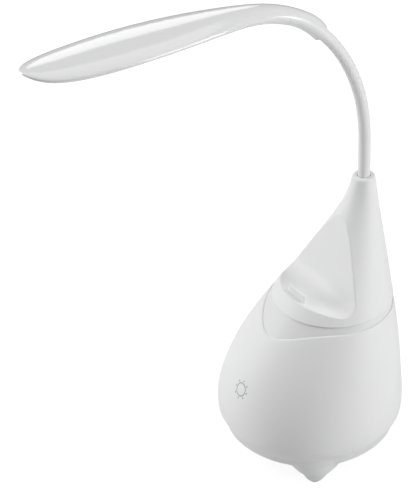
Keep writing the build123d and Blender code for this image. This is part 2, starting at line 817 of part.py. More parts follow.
def leds():
    """Rows of flat chips under the board."""
    chips = []
    sides = [row - (LED_ROWS - 1) / 2 for row in range(LED_ROWS)]
    start = (WINDOW_FRONT_Y + WINDOW_BACK_Y - LED_PITCH * (LED_COLUMNS - 1)) / 2
    rise = LED_BOARD_FRONT[1] - LED_BOARD_BACK[1]
    tilt = math.degrees(math.atan(rise / (LED_BOARD_FRONT[0] - LED_BOARD_BACK[0])))
    for column in range(LED_COLUMNS):
        for side in sides:
            y = start + column * LED_PITCH
            level = board_height(y) - LED_SIZE[2] / 2
            place = Pos(side * LED_ROW_GAP, y, level) * Rot(tilt, 0, 0)
            chips.append(place * Box(*LED_SIZE))
    return Compound(children=chips)


def led_screws():
    screws = []
    head_radius, head_height = LED_SCREW_HEAD
    for y in LED_POST_YS:
        seat = board_height(y) - SHELL_CLEARANCE
        head = upright(head_radius, seat - head_height, seat, 0.0, y)
        screws.append(head + upright(LED_SCREW_RADIUS, seat, seat + LED_SCREW_LENGTH, 0.0, y))
    return Compound(children=screws)


def tail_plane(last):
    """Plane at the inner end of the neck's tail in the head."""
    lean = last.z_dir.get_angle(Vector(0, 0, 1))
    turn = math.radians(HEAD_TAIL_BEND)
    radius = HEAD_TAIL / turn
    start = math.radians(lean)
    y = last.origin.Y - radius * (math.cos(start) - math.cos(start + turn))
    z = last.origin.Z + radius * (math.sin(start + turn) - math.sin(start))
    return joint_plane(y, z, start + turn)


def head_ferrule(last):
    """Upper tail of the neck: ball, stem and the bar that the head is clamped on."""
    end = tail_plane(last)
    bar = run_between(last, end, NECK_LINK_RADIUS) - ball_at(last, SKIN_SEAT)
    bar += link_ball(last, SKIN_SEAT + STEM_RADIUS)
    return bar - run_between(last, end, WIRE_BORE, before=BALL_RADIUS)


def head_skin(last):
    """Upper end of the soft skin, standing in the head's mouth."""
    end = tail_plane(last)
    tube = run_between(last, end, NECK_RADIUS) - run_between(last, end, NECK_LINK_RADIUS)
    return (tube & ball_at(last, HEAD_SKIN_LENGTH)) - ball_at(last, SKIN_SEAT)


# ---------------------------------------------------------------- loudspeaker
SPEAKER_FACE = FLOOR_TOP + GASKET
FLANGE_TOP = SPEAKER_FACE + SPEAKER_FLANGE
BASKET_TOP = SPEAKER_FACE + SPEAKER_DEPTH


def ring(outer, inner, bottom, top):
    return upright(outer, bottom, top) - upright(inner, bottom, top)


def turned(points):
    """Solid of revolution from a closed outline drawn as (radius, level)."""
    return revolve(Plane.XZ * make_face(Polyline(*points, close=True)), Axis.Z)


def speaker_screw_places():
    for number in range(BASKET_WINDOWS):
        angle = 2 * math.pi * number / BASKET_WINDOWS
        yield SPEAKER_SCREW_CIRCLE * math.cos(angle), SPEAKER_SCREW_CIRCLE * math.sin(angle)


def speaker_gasket():
    band = ring(SPEAKER_RADIUS, SURROUND_OUTER - GASKET, FLOOR_TOP, SPEAKER_FACE)
    return band - [
        upright(SPEAKER_SCREW_RADIUS + SHELL_CLEARANCE, FLOOR_TOP, SPEAKER_FACE, x, y)
        for x, y in speaker_screw_places()
    ]


def speaker_basket():
    low = SURROUND_OUTER + BASKET_WALL
    cone = turned(
        [
            (SURROUND_OUTER, SPEAKER_FACE),
            (SPEAKER_RADIUS, SPEAKER_FACE),
            (SPEAKER_RADIUS, FLANGE_TOP),
            (low, FLANGE_TOP),
            (MAGNET_RADIUS, BASKET_TOP),
            (VOICE_COIL_RADIUS + COIL_GAP, BASKET_TOP),
            (VOICE_COIL_RADIUS + COIL_GAP, BASKET_TOP - BASKET_WALL),
            (MAGNET_RADIUS - BASKET_WALL, BASKET_TOP - BASKET_WALL),
            (SURROUND_OUTER, FLANGE_TOP),
        ]
    )
    window = Box(
        SPEAKER_RADIUS, MAGNET_RADIUS, SPEAKER_DEPTH / 2, align=(Align.MIN, Align.CENTER, Align.MIN)
    )
    step = 360 / BASKET_WINDOWS
    cuts = [
        Rot(0, 0, number * step) * Pos(0, 0, FLANGE_TOP) * window
        for number in range(BASKET_WINDOWS)
    ]
    cuts += [
        upright(SPEAKER_SCREW_RADIUS + SHELL_CLEARANCE, SPEAKER_FACE, FLANGE_TOP, x, y)
        for x, y in speaker_screw_places()
    ]
    return cone - cuts


def speaker_surround():
    """Half-roll of soft rubber between the cone and the flange."""
    middle = (SURROUND_OUTER + CONE_RADIUS) / 2
    roll = (SURROUND_OUTER - CONE_RADIUS) / 2
    level = (SPEAKER_FACE + FLANGE_TOP) / 2
    torus = Pos(0, 0, level) * (Torus(middle, roll) - Torus(middle, roll - CONE_THICKNESS))
    return torus & slab(level, level + roll)


def speaker_cone():
    rim = (SPEAKER_FACE + FLANGE_TOP) / 2
    neck = BASKET_TOP - VOICE_COIL_LENGTH / 2
    paper = turned(
        [
            (CONE_RADIUS, rim),
            (CONE_RADIUS, rim + CONE_THICKNESS),
            (VOICE_COIL_RADIUS, neck),
            (VOICE_COIL_RADIUS - CONE_THICKNESS, neck),
            (VOICE_COIL_RADIUS - CONE_THICKNESS, neck - CONE_THICKNESS),
        ]
    )
    coil = ring(
        VOICE_COIL_RADIUS,
        VOICE_COIL_RADIUS - CONE_THICKNESS,
        neck - CONE_THICKNESS,
        neck + VOICE_COIL_LENGTH,
    )
    dome = Pos(0, 0, neck) * (
        Sphere(VOICE_COIL_RADIUS) - Sphere(VOICE_COIL_RADIUS - CONE_THICKNESS)
    )
    return paper + coil + (dome & slab(0.0, neck))


def speaker_magnet():
    inner = VOICE_COIL_RADIUS + COIL_GAP
    return ring(MAGNET_RADIUS, inner, BASKET_TOP, BASKET_TOP + MAGNET_HEIGHT)


def speaker_yoke():
    """Back plate with the pole that stands inside the voice coil."""
    low = BASKET_TOP + MAGNET_HEIGHT
    plate = upright(MAGNET_RADIUS, low, low + YOKE_THICKNESS)
    pole = upright(VOICE_COIL_RADIUS - CONE_THICKNESS - COIL_GAP, BASKET_TOP, low)
    edge = plate.edges().group_by(Axis.Z)[-1]
    return fillet(edge, YOKE_THICKNESS / 3) + pole


def speaker_screws():
    head_radius, head_height = SPEAKER_SCREW_HEAD
    screws = []
    for x, y in speaker_screw_places():
        head = upright(head_radius, FLANGE_TOP, FLANGE_TOP + head_height, x, y)
        screws.append(head + upright(SPEAKER_SCREW_RADIUS, FLOOR_TOP, FLANGE_TOP, x, y))
    return Compound(children=screws)


# ---------------------------------------------------------------- weight, cell, boards
BALLAST_TOP = FLOOR_TOP + BALLAST_HEIGHT
CELL_LEVEL = BALLAST_TOP + TRAY_WALL + TRAY_PLAY + CELL_RADIUS


def ballast_ring():
    outer = FOOT_CIRCLE - BOSS_RADIUS - SEAT_GAP
    weight = ring(outer, SPEAKER_RADIUS + SEAT_GAP, FLOOR_TOP, BALLAST_TOP)
    return chamfer(weight.edges().group_by(Axis.Z)[-1], WALL / 4)


def cell_tray():
    """Open cradle along X, cut to the dish where its corners meet it."""
    hollow = CELL_RADIUS + TRAY_PLAY
    length = CELL_LENGTH + 2 * (TRAY_PLAY + CELL_CAP[1])
    block = Pos(0, CELL_Y, BALLAST_TOP) * Box(
        length + 2 * TRAY_WALL,
        2 * (hollow + TRAY_WALL),
        TRAY_WALL + hollow,
        align=(Align.CENTER, Align.CENTER, Align.MIN),
    )
    trough = Pos(0, CELL_Y, CELL_LEVEL) * Rot(0, 90, 0) * Cylinder(hollow, length)
    bosses = [upright(BOSS_RADIUS + SEAT_GAP, 0.0, REACH, x, y) for x, y in foot_places()]
    return (block - trough - bosses) & body_form(WALL + SEAT_GAP)


def battery_cell():
    body = Rot(0, 90, 0) * Cylinder(CELL_RADIUS, CELL_LENGTH)
    body = fillet(body.edges(), CELL_CAP[1] / 2)
    button = Pos(CELL_LENGTH / 2, 0, 0) * Rot(0, 90, 0) * Cylinder(
        CELL_CAP[0], CELL_CAP[1], align=(Align.CENTER, Align.CENTER, Align.MIN)
    )
    return Pos(0, CELL_Y, CELL_LEVEL) * (body + button)


def main_board():
    width, depth, thickness = BOARD_SIZE
    plate = Pos(0, BOARD_FRONT_Y, BOARD_LEVEL - thickness) * Box(
        width, depth, thickness, align=(Align.CENTER, Align.MIN, Align.MIN)
    )
    plate = plate & body_form(WALL + SEAT_GAP)
    holes = [
        upright(SHANK_HOLE, 0.0, BOARD_LEVEL, x, BOARD_SCREW_Y)
        for x in (-BOARD_SCREW_X, BOARD_SCREW_X)
    ]
    chips = [
        Pos(x, y, BOARD_LEVEL) * Box(w, d, h, align=(Align.CENTER, Align.CENTER, Align.MIN))
        for x, y, w, d, h in CHIPS
    ]
    return plate - holes + chips


def board_screws():
    seat = BOARD_LEVEL - BOARD_SIZE[2]
    length = SHORT_SCREW_LENGTH
    return Compound(
        children=[
            screw_up(length, x, BOARD_SCREW_Y, seat) for x in (-BOARD_SCREW_X, BOARD_SCREW_X)
        ]
    )


def charging_socket():
    """Metal shell with a tongue, its mouth just inside the skin at the back."""
    width, depth, height = SOCKET_SIZE
    mouth = back_wall_y(SOCKET_X + width / 2) - SOCKET_INSET
    shell = Pos(SOCKET_X, mouth, SOCKET_LEVEL) * Box(
        width, depth, height, align=(Align.CENTER, Align.MAX, Align.CENTER)
    )
    shell = fillet(shell.edges().filter_by(Axis.Y), height / 3)
    room = Pos(SOCKET_X, mouth, SOCKET_LEVEL) * Box(
        width - 2 * SOCKET_LINING,
        depth - SOCKET_LINING,
        height - 2 * SOCKET_LINING,
        align=(Align.CENTER, Align.MAX, Align.CENTER),
    )
    tongue = Pos(SOCKET_X, mouth - SOCKET_INSET, SOCKET_LEVEL) * Box(
        width / 2, depth - SOCKET_INSET, SOCKET_TONGUE, align=(Align.CENTER, Align.MAX, Align.CENTER)
    )
    return shell - room + tongue


def switch_face_y():
    width = SWITCH_BODY[0] / 2
    return back_wall_y(SWITCH_X + width, WALL) - WINDOW_PLAY


def switch_body():
    width, depth, height = SWITCH_BODY
    case = Pos(SWITCH_X, switch_face_y(), BOARD_LEVEL) * Box(
        width, depth, height, align=(Align.CENTER, Align.MAX, Align.MIN)
    )
    stem_width, stem_height, stem_depth = SWITCH_STEM
    slot = Pos(SWITCH_X, switch_face_y(), SWITCH_LEVEL) * Box(
        stem_width + SWITCH_TRAVEL + 2 * SEAT_GAP,
        stem_depth + SEAT_GAP,
        stem_height + 2 * SEAT_GAP,
        align=(Align.CENTER, Align.MAX, Align.CENTER),
    )
    return case - slot


def switch_knob():
    """Sliding key: a ribbed thumb piece through the slot, on a stem in the switch."""
    width, height = SWITCH_KNOB
    face = switch_face_y() + SEAT_GAP
    outside = back_wall_y(SWITCH_X) + SWITCH_REACH
    key = Pos(SWITCH_X, face, SWITCH_LEVEL) * Box(
        width, outside - face, height, align=(Align.CENTER, Align.MIN, Align.CENTER)
    )
    key = chamfer(key.faces().sort_by(Axis.Y)[-1].edges(), SEAT_GAP)
    stem_width, stem_height, stem_depth = SWITCH_STEM
    stem = Pos(SWITCH_X, face, SWITCH_LEVEL) * Box(
        stem_width, stem_depth, stem_height, align=(Align.CENTER, Align.MAX, Align.CENTER)
    )
    return key + stem


# ---------------------------------------------------------------- touch key
TOUCH_DEPTH = WALL + TOUCH_SETBACK


def touch_foil():
    return extrude(touch_plane(TOUCH_DEPTH) * Circle(TOUCH_RADIUS), amount=-TOUCH_FOIL)


def touch_board():
    face = touch_plane(TOUCH_DEPTH + TOUCH_FOIL)
    plate = extrude(face * Circle(TOUCH_BOARD_RADIUS), amount=-TOUCH_BOARD)
    hole = Circle(TOUCH_SCREW_RADIUS + SHELL_CLEARANCE)
    return plate - [
        extrude(face * Pos(side * TOUCH_SCREW_X, 0) * hole, amount=-TOUCH_BOARD)
        for side in (-1, 1)
    ]


def touch_screws():
    back = touch_plane(TOUCH_DEPTH + TOUCH_FOIL + TOUCH_BOARD)
    head_radius, head_height = TOUCH_SCREW_HEAD
    screws = []
    for side in (-1, 1):
        place = Pos(side * TOUCH_SCREW_X, 0)
        head = extrude(back * place * Circle(head_radius), amount=-head_height)
        shank = extrude(back * place * Circle(TOUCH_SCREW_RADIUS), amount=TOUCH_BOARD + WALL / 2)
        screws.append(head + shank)
    return Compound(children=screws)


def build_all():
    joints = neck_planes()
    under = bottom_half()
    parts = {
        "bottom_shell": bottom_shell(),
        "foot_pads": foot_pads(),
        "body_screws": body_screws(),
        "lower_shell": lower_shell(),
        "band_frame": band_frame(),
        "frame_screws": frame_screws(),
        "top_cover": top_cover(),
        "cover_screws": cover_screws(),
        "speaker_gasket": speaker_gasket(),
        "speaker_basket": speaker_basket(),
        "speaker_surround": speaker_surround(),
        "speaker_cone": speaker_cone(),
        "speaker_magnet": speaker_magnet(),
        "speaker_yoke": speaker_yoke(),
        "speaker_screws": speaker_screws(),
        "ballast_ring": ballast_ring(),
        "cell_tray": cell_tray(),
        "battery_cell": battery_cell(),
        "main_board": main_board(),
        "board_screws": board_screws(),
        "charging_socket": charging_socket(),
        "switch_body": switch_body(),
        "switch_knob": switch_knob(),
        "touch_foil": touch_foil(),
        "touch_board": touch_board(),
        "touch_screws": touch_screws(),
        "neck_ferrule": base_ferrule(joints[0]),
        "neck_skin_base": base_skin(joints[0]),
        "neck_nut": neck_nut(),
        "head_ferrule": head_ferrule(joints[-1]),
        "head_skin": head_skin(joints[-1]),
        "head_top": head_top(),
        "head_bottom": head_bottom(under),
        "head_clamp": head_clamp(under),
        "diffuser": diffuser(under),
        "led_board": led_board(),
        "leds": leds(),
        "led_screws": led_screws(),
    }
    for number, (start, end) in enumerate(zip(joints, joints[1:]), start=1):
        parts[f"neck_link_{number}"] = neck_link(start, end)
        parts[f"neck_skin_{number}"] = neck_skin(start, end)
    return parts


os.makedirs("parts", exist_ok=True)
to_rear_pad = Pos(0, -FOOT_CIRCLE, 0)
for name, shape in build_all().items():
    export_step(to_rear_pad * shape, f"parts/{name}.step")
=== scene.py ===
import json
import math

import bmesh
import bpy
import numpy as np
from mathutils import Matrix

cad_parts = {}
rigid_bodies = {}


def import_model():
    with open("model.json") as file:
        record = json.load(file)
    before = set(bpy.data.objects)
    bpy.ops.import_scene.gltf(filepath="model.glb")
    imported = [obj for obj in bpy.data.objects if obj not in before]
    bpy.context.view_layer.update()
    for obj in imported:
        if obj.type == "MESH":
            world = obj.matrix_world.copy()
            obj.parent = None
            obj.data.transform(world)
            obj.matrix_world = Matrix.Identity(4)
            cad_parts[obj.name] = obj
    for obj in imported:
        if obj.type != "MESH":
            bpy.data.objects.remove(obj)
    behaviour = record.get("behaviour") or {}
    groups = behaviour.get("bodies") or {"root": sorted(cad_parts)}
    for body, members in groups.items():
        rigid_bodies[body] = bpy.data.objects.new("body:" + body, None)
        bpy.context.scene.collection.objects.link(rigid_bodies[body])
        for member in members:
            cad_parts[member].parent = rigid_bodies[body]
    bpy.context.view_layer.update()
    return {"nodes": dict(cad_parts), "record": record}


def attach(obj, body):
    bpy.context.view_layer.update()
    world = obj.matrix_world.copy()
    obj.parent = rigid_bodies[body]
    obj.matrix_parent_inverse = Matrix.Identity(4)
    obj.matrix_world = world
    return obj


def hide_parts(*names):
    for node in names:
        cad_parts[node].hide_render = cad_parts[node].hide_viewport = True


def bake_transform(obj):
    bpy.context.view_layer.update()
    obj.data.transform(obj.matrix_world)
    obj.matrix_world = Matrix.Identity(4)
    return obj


for thing in list(bpy.data.objects):
    bpy.data.objects.remove(thing)
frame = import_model()

# ---------------------------------------------------------------- bottom shell
# The lowest moulding of the body: a shallow bowl in satin white ABS with three blunt
# conical feet drawn down out of it. The rings of small holes under its middle let the
# loudspeaker out. It is injection moulded in one piece and screwed up through the feet.

REAR_PAD = 0.0463  # the drawings' upright axis lies this far in front of the rear pad
ROUND = 384  # columns round the body
BODY_RINGS = np.array(
    [
        (9.0, 40.6, 0.0),
        (16.0, 52.1, 0.0),
        (26.0, 61.5, 0.0),
        (40.0, 65.0, 0.0),
        (60.0, 63.0, 1.7),
        (84.0, 56.9, 7.0),
        (110.0, 46.7, 15.4),
        (140.0, 32.8, 26.7),
        (172.0, 18.3, 37.9),
        (196.0, 9.9, 43.6),
        (208.0, 7.7, 44.6),
    ]
)  # level, radius and backward shift in mm
FLOOR_LEVEL = 9.0
SEAM_LEVEL = 34.7
SHELL_WALL = 2.0
EDGE_ROUND = 0.45
CREASE = 38.0  # degrees between two faces, from which their edge stays sharp
MERGE_WITHIN = 2e-6  # points nearer than this, in m, become one
NO_LENGTH = 1e-7


def smooth_through(marks, values, places):
    """Natural cubic spline: piecewise cubics whose value, slope and curvature agree at
    the marks and whose curvature is nil at both ends."""
    marks, values = np.asarray(marks, float), np.asarray(values, float)
    step = np.diff(marks)
    count = len(marks)
    system = np.eye(count)
    right = np.zeros(values.shape)
    inner = np.arange(1, count - 1)
    system[inner, inner - 1] = step[:-1]
    system[inner, inner] = 2 * (step[:-1] + step[1:])
    system[inner, inner + 1] = step[1:]
    slope = np.diff(values, axis=0) / (step[:, None] if values.ndim > 1 else step)
    right[1:-1] = 6 * np.diff(slope, axis=0)
    bend = np.linalg.solve(system, right)
    span = np.clip(np.searchsorted(marks, places) - 1, 0, count - 2)
    width = step[span]
    ahead, behind = marks[span + 1] - places, places - marks[span]
    if values.ndim > 1:
        width, ahead, behind = width[..., None], ahead[..., None], behind[..., None]
    low, high = values[span], values[span + 1]
    first, last = bend[span], bend[span + 1]
    return (
        (first * ahead**3 + last * behind**3) / (6 * width)
        + (low / width - first * width / 6) * ahead
        + (high / width - last * width / 6) * behind
    )


RING_MARKS = np.concatenate(
    [[0.0], np.cumsum(np.hypot(np.diff(BODY_RINGS[:, 0]), np.diff(BODY_RINGS[:, 1])))]
)
FINE_RINGS = smooth_through(RING_MARKS, BODY_RINGS, np.linspace(0, RING_MARKS[-1], 2000))


def body_ring(level):
    """Radius and backward shift of the leaning drop at a level."""
    radius = np.interp(level, FINE_RINGS[:, 0], FINE_RINGS[:, 1])
    return radius, np.interp(level, FINE_RINGS[:, 0], FINE_RINGS[:, 2])


def body_skin(turn, level, inset):
    """Point of the drop: (R - inset) sin a, shift - (R - inset) cos a, level, where R is
    the radius at that level and the turn a is counted from the front."""
    turn, level, inset = np.broadcast_arrays(turn, level, inset)
    radius, shift = body_ring(level)
    radius = radius - inset
    return np.stack([radius * np.sin(turn), shift - radius * np.cos(turn), level], -1)


def make_piece(name, grids, sharp=CREASE):
    """One mesh from grids of points in mm, each given with its closed directions: the
    faces join each point to the next in both directions, and shared points are merged."""
    mesh = bpy.data.meshes.new(name)
    points, quads, start = [], [], 0
    for grid, wrap_rows, wrap_columns in grids:
        rows, columns = grid.shape[:2]
        index = np.arange(rows * columns).reshape(rows, columns) + start
        start += rows * columns
        if wrap_rows:
            index = np.vstack([index, index[:1]])
        if wrap_columns:
            index = np.hstack([index, index[:, :1]])
        corners = [index[:-1, :-1], index[:-1, 1:], index[1:, 1:], index[1:, :-1]]
        quads.append(np.stack(corners, -1).reshape(-1, 4))
        points.append(grid.reshape(-1, 3))
    points = np.concatenate(points) * 0.001
    points[:, 1] -= REAR_PAD
    quads = np.concatenate(quads)
    mesh.from_pydata(points, [], quads)
    build = bmesh.new()
    build.from_mesh(mesh)
    bmesh.ops.remove_doubles(build, verts=build.verts, dist=MERGE_WITHIN)
    bmesh.ops.dissolve_degenerate(build, edges=build.edges, dist=NO_LENGTH)
    bmesh.ops.recalc_face_normals(build, faces=build.faces)
    build.to_mesh(mesh)
    build.free()
    mesh.shade_smooth()
    mesh.set_sharp_from_angle(angle=math.radians(sharp))
    piece = bpy.data.objects.new(name, mesh)
    bpy.context.scene.collection.objects.link(piece)
    return piece


def cut_holes(piece, cutters):
    """Takes the cutters away from the piece and keeps the result as its mesh."""
    for cutter in cutters:
        cut = piece.modifiers.new("cut", "BOOLEAN")
        cut.operation = "DIFFERENCE"
        cut.solver = "EXACT"
        cut.object = cutter
    bpy.context.view_layer.update()
    done = piece.evaluated_get(bpy.context.evaluated_depsgraph_get())
    mesh = bpy.data.meshes.new_from_object(done)
    piece.modifiers.clear()
    piece.data = mesh
    mesh.set_sharp_from_angle(angle=math.radians(CREASE))
    for cutter in cutters:
        bpy.data.objects.remove(cutter)


def surface_effect():
    """Shader group for moulded and painted surfaces: slow mottling of the colour, a fine
    grain for the bump, and a roughness that wanders a little."""
    group = bpy.data.node_groups.new("moulded_surface", "ShaderNodeTree")
    for label, kind, value in (
        ("Colour", "NodeSocketColor", (0.8, 0.8, 0.8, 1)),
        ("Mottle", "NodeSocketFloat", 0.02),
        ("Grain size", "NodeSocketFloat", 1500.0),
        ("Roughness", "NodeSocketFloat", 0.4),
        ("Wander", "NodeSocketFloat", 0.08),
    ):
        socket = group.interface.new_socket(label, in_out="INPUT", socket_type=kind)
        socket.default_value = value
    for label, kind in (
        ("Colour", "NodeSocketColor"),
        ("Roughness", "NodeSocketFloat"),
        ("Height", "NodeSocketFloat"),
    ):
        group.interface.new_socket(label, in_out="OUTPUT", socket_type=kind)
    nodes, links = group.nodes, group.links
    inlet, outlet = nodes.new("NodeGroupInput"), nodes.new("NodeGroupOutput")
    place = nodes.new("ShaderNodeTexCoord")
    slow = nodes.new("ShaderNodeTexNoise")
    slow.inputs["Scale"].default_value = 28.0
    slow.inputs["Detail"].default_value = 3.0
    links.new(place.outputs["Object"], slow.inputs["Vector"])
    fine = nodes.new("ShaderNodeTexNoise")
    fine.inputs["Detail"].default_value = 2.0
    links.new(place.outputs["Object"], fine.inputs["Vector"])
    links.new(inlet.outputs["Grain size"], fine.inputs["Scale"])

    def level(source, amount, base):
        """base + (source - one half) * amount"""
        centred = nodes.new("ShaderNodeMath")
        centred.operation = "SUBTRACT"
        links.new(source, centred.inputs[0])
        centred.inputs[1].default_value = 0.5
        scaled = nodes.new("ShaderNodeMath")
        scaled.operation = "MULTIPLY_ADD"
        links.new(centred.outputs[0], scaled.inputs[0])
        links.new(amount, scaled.inputs[1])
        if isinstance(base, float):
            scaled.inputs[2].default_value = base
        else:
            links.new(base, scaled.inputs[2])
        return scaled.outputs[0]

    shade = level(slow.outputs["Fac"], inlet.outputs["Mottle"], 1.0)
    tint = nodes.new("ShaderNodeVectorMath")
    tint.operation = "SCALE"
    links.new(inlet.outputs["Colour"], tint.inputs[0])
    links.new(shade, tint.inputs["Scale"])
    links.new(tint.outputs["Vector"], outlet.inputs["Colour"])
    rough = level(slow.outputs["Fac"], inlet.outputs["Wander"], inlet.outputs["Roughness"])
    links.new(rough, outlet.inputs["Roughness"])
    links.new(fine.outputs["Fac"], outlet.inputs["Height"])
    return group


MOULDED = surface_effect()


def finish_in(name, colour, roughness, grain=1500.0, bump=0.05, mottle=0.02, **shader):
    """Material on the moulded surface group; the keywords set the shader's own sockets."""
    material = bpy.data.materials.new(name)
    material.use_nodes = True
    nodes, links = material.node_tree.nodes, material.node_tree.links
    body = nodes["Principled BSDF"]
    group = nodes.new("ShaderNodeGroup")
    group.node_tree = MOULDED
    group.inputs["Colour"].default_value = (*colour, 1)
    group.inputs["Roughness"].default_value = roughness
    group.inputs["Grain size"].default_value = grain
    group.inputs["Mottle"].default_value = mottle
    links.new(group.outputs["Colour"], body.inputs["Base Color"])
    links.new(group.outputs["Roughness"], body.inputs["Roughness"])
    relief = nodes.new("ShaderNodeBump")
    relief.inputs["Strength"].default_value = bump
    relief.inputs["Distance"].default_value = 0.0002
    links.new(group.outputs["Height"], relief.inputs["Height"])
    links.new(relief.outputs["Normal"], body.inputs["Normal"])
    for label, value in shader.items():
        body.inputs[label.replace("_", " ")].default_value = value
    return material


def give(piece, material):
    piece.data.materials.clear()
    piece.data.materials.append(material)


SHELL_WHITE = finish_in(
    "shell_white", (0.87, 0.872, 0.878), 0.52, bump=0.05, Specular_IOR_Level=0.35
)

# The feet: each profile pair is the distance from the foot's own axis and the level there.
FOOT_CIRCLE = 46.3
FOOT_TURNS = (90, 210, 330)
FOOT_PROFILE = np.array(
    [(0.0, 0.6), (3.9, 0.6), (4.4, 0.8), (5.6, 1.8), (6.6, 3.0), (7.6, 4.6), (8.6, 6.4),
     (9.9, 8.4), (11.6, 10.4), (13.6, 12.8), (15.6, 16.5), (17.2, 23.0), (18.8, 32.0),
     (21.0, 50.0)]
)
FOOT_BLEND = 3.0
FOOT_STEEPER = 0.022  # how fast the foot's outer side grows steeper, for each mm outwards
BLEND_FROM, BLEND_OVER = 3.0, 9.0  # the blend comes in from this level, over this height
BOWL_RINGS = 700  # of the fine rings, those that the underside's level is read from


def under_body(far, turn):
    """Level of the underside: the smooth minimum -k log(sum exp(-z / k)) of the bowl's
    level and of each foot's cone, which is steeper on its outer side."""
    level = np.interp(far, FINE_RINGS[:BOWL_RINGS, 1], FINE_RINGS[:BOWL_RINGS, 0])
    level = np.where(far < BODY_RINGS[0, 1], FLOOR_LEVEL, level) + 0 * turn
    x, y = far * np.sin(turn), -far * np.cos(turn)
    floors = [level]
    for degrees in FOOT_TURNS:
        angle = math.radians(degrees)
        along = x * math.cos(angle) + y * math.sin(angle)
        across = -x * math.sin(angle) + y * math.cos(angle)
        along = along - FOOT_CIRCLE
        along = np.where(along > 0, along * (1 + FOOT_STEEPER * along), along)
        distance = np.hypot(along, across)
        floors.append(np.interp(distance, FOOT_PROFILE[:, 0], FOOT_PROFILE[:, 1]))
    floors = np.stack(floors)
    low = floors.min(0)
    spread = np.exp(-(floors - low) / FOOT_BLEND).sum(0)
    drop = FOOT_BLEND * np.log(spread)
    fade = np.clip((low - BLEND_FROM) / BLEND_OVER, 0, 1)
    return low - drop * fade * fade * (3 - 2 * fade)


# A known fault, left as it is: past the last fine ring's radius, 59.6 mm, the rows don't
# follow the bowl but stand at 46.7 mm, inside the lower shell. Between the levels 23 and
# 34.5 mm the wall's inner face shows instead, up to 2 mm too far in.
UNDER_STEPS = np.concatenate(
    [[0.0, 8.0, 16.0, 22.0, 27.0], np.arange(30.0, 64.0, 0.42), [64.15, 64.3]]
)
RIM = np.array([(0.0, -0.25), (0.12, -0.08), (0.35, 0.0), (SHELL_WALL, 0.0)])  # inset, drop
INNER_ROWS = 12
turns = np.linspace(-math.pi, math.pi, ROUND, endpoint=False)[None, :]
far = UNDER_STEPS[:, None]
outside = np.stack([far * np.sin(turns), -far * np.cos(turns), under_body(far, turns)], -1)
rim_rows = body_skin(turns, SEAM_LEVEL + RIM[:, 1:], RIM[:, :1])
inner_levels = np.linspace(SEAM_LEVEL, FLOOR_LEVEL + SHELL_WALL, INNER_ROWS)[1:, None]
inner_rows = body_skin(turns, inner_levels, SHELL_WALL)
inner_floor = np.stack([0 * turns, 0 * turns, 0 * turns + FLOOR_LEVEL + SHELL_WALL], -1)
bottom_shell = make_piece(
    "bottom_shell_skin",
    [(np.concatenate([outside, rim_rows, inner_rows, inner_floor]), False, True)],
)

# The loudspeaker's holes: one in the middle and three rings round it.
# A known fault, left as it is: the shell's faces point inwards, so the cut leaves closed
# stubs under and over the floor where the holes should be.
GRILLE_PITCH, GRILLE_RINGS = 4.4, 3
HOLE_RADIUS, HOLE_SIDES = 1.3, 20
HOLE_FROM, HOLE_TO = 5.0, 14.0
hole_turn = np.linspace(0, 2 * math.pi, HOLE_SIDES, endpoint=False)
spots = [(0.0, 0.0)]
for ring in range(1, GRILLE_RINGS + 1):
    spots += [
        (GRILLE_PITCH * ring * math.cos(a), GRILLE_PITCH * ring * math.sin(a))
        for a in np.linspace(0, 2 * math.pi, 6 * ring, endpoint=False)
    ]
reach = np.array(
    [(0.0, HOLE_FROM), (HOLE_RADIUS, HOLE_FROM), (HOLE_RADIUS, HOLE_TO), (0.0, HOLE_TO)]
)
holes = []
for x, y in spots:
    hole = [
        x + reach[:, :1] * np.cos(hole_turn),
        y + reach[:, :1] * np.sin(hole_turn),
        reach[:, 1:] + 0 * hole_turn,
    ]
    holes.append((np.stack(hole, -1), False, True))
cut_holes(bottom_shell, [make_piece("grille_holes", holes)])
give(bottom_shell, SHELL_WHITE)
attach(bottom_shell, "base")
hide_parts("bottom_shell")

# ---------------------------------------------------------------- foot pads
# Three discs of soft pale rubber, pressed into the tips of the feet over the screws.

PAD_RUBBER = finish_in("pad_rubber", (0.74, 0.74, 0.75), 0.75, grain=900.0, bump=0.3)
give(frame["nodes"]["foot_pads"], PAD_RUBBER)

# ---------------------------------------------------------------- lower shell
# The big moulding above the low seam, in the same satin ABS. Its upper edge is high at
# the back and dips in a long wave at the front; the charging socket and the switch look
# out of two windows at the back.

EDGE_ARC = (-5.0, 65.2, 50.0)  # y and level of the arc's centre, and its radius
EDGE_SWEEP = math.sqrt(0.5)  # how far the arc runs to the front, as a share of its radius
EDGE_TOP = 115.4
EDGE_RUN = 40.0  # behind the arc's top, the last rise is spread over this length
REBATE, REBATE_WALL, REBATE_BREAK = 5.0, 1.1, 0.1  # step inside the edge: depth, wall, corner
SEAM_ROUND = 0.6
CORNER_SHARE = 0.3  # a rounded edge's middle row stands this share of its radius in
WALL_ROWS, INSIDE_ROWS = 64, 24
EDGE_TRIES = 30


def wavy_edge(y):
    """Level of the edge in side view: down the front, centre + R sqrt(1 - t^2) along an
    arc; behind the arc's top, a rise of 3 s^2 - 2 s^3 to the level of the back."""
    centre_y, centre_z, radius = EDGE_ARC
    ahead = np.clip((centre_y - y) / radius, 0, EDGE_SWEEP)
    arc = centre_z + radius * np.sqrt(1 - ahead**2)
    rise = np.clip((y - centre_y) / EDGE_RUN, 0, 1)
    rise = rise * rise * (3 - 2 * rise)
    return arc + (EDGE_TOP - centre_z - radius) * rise


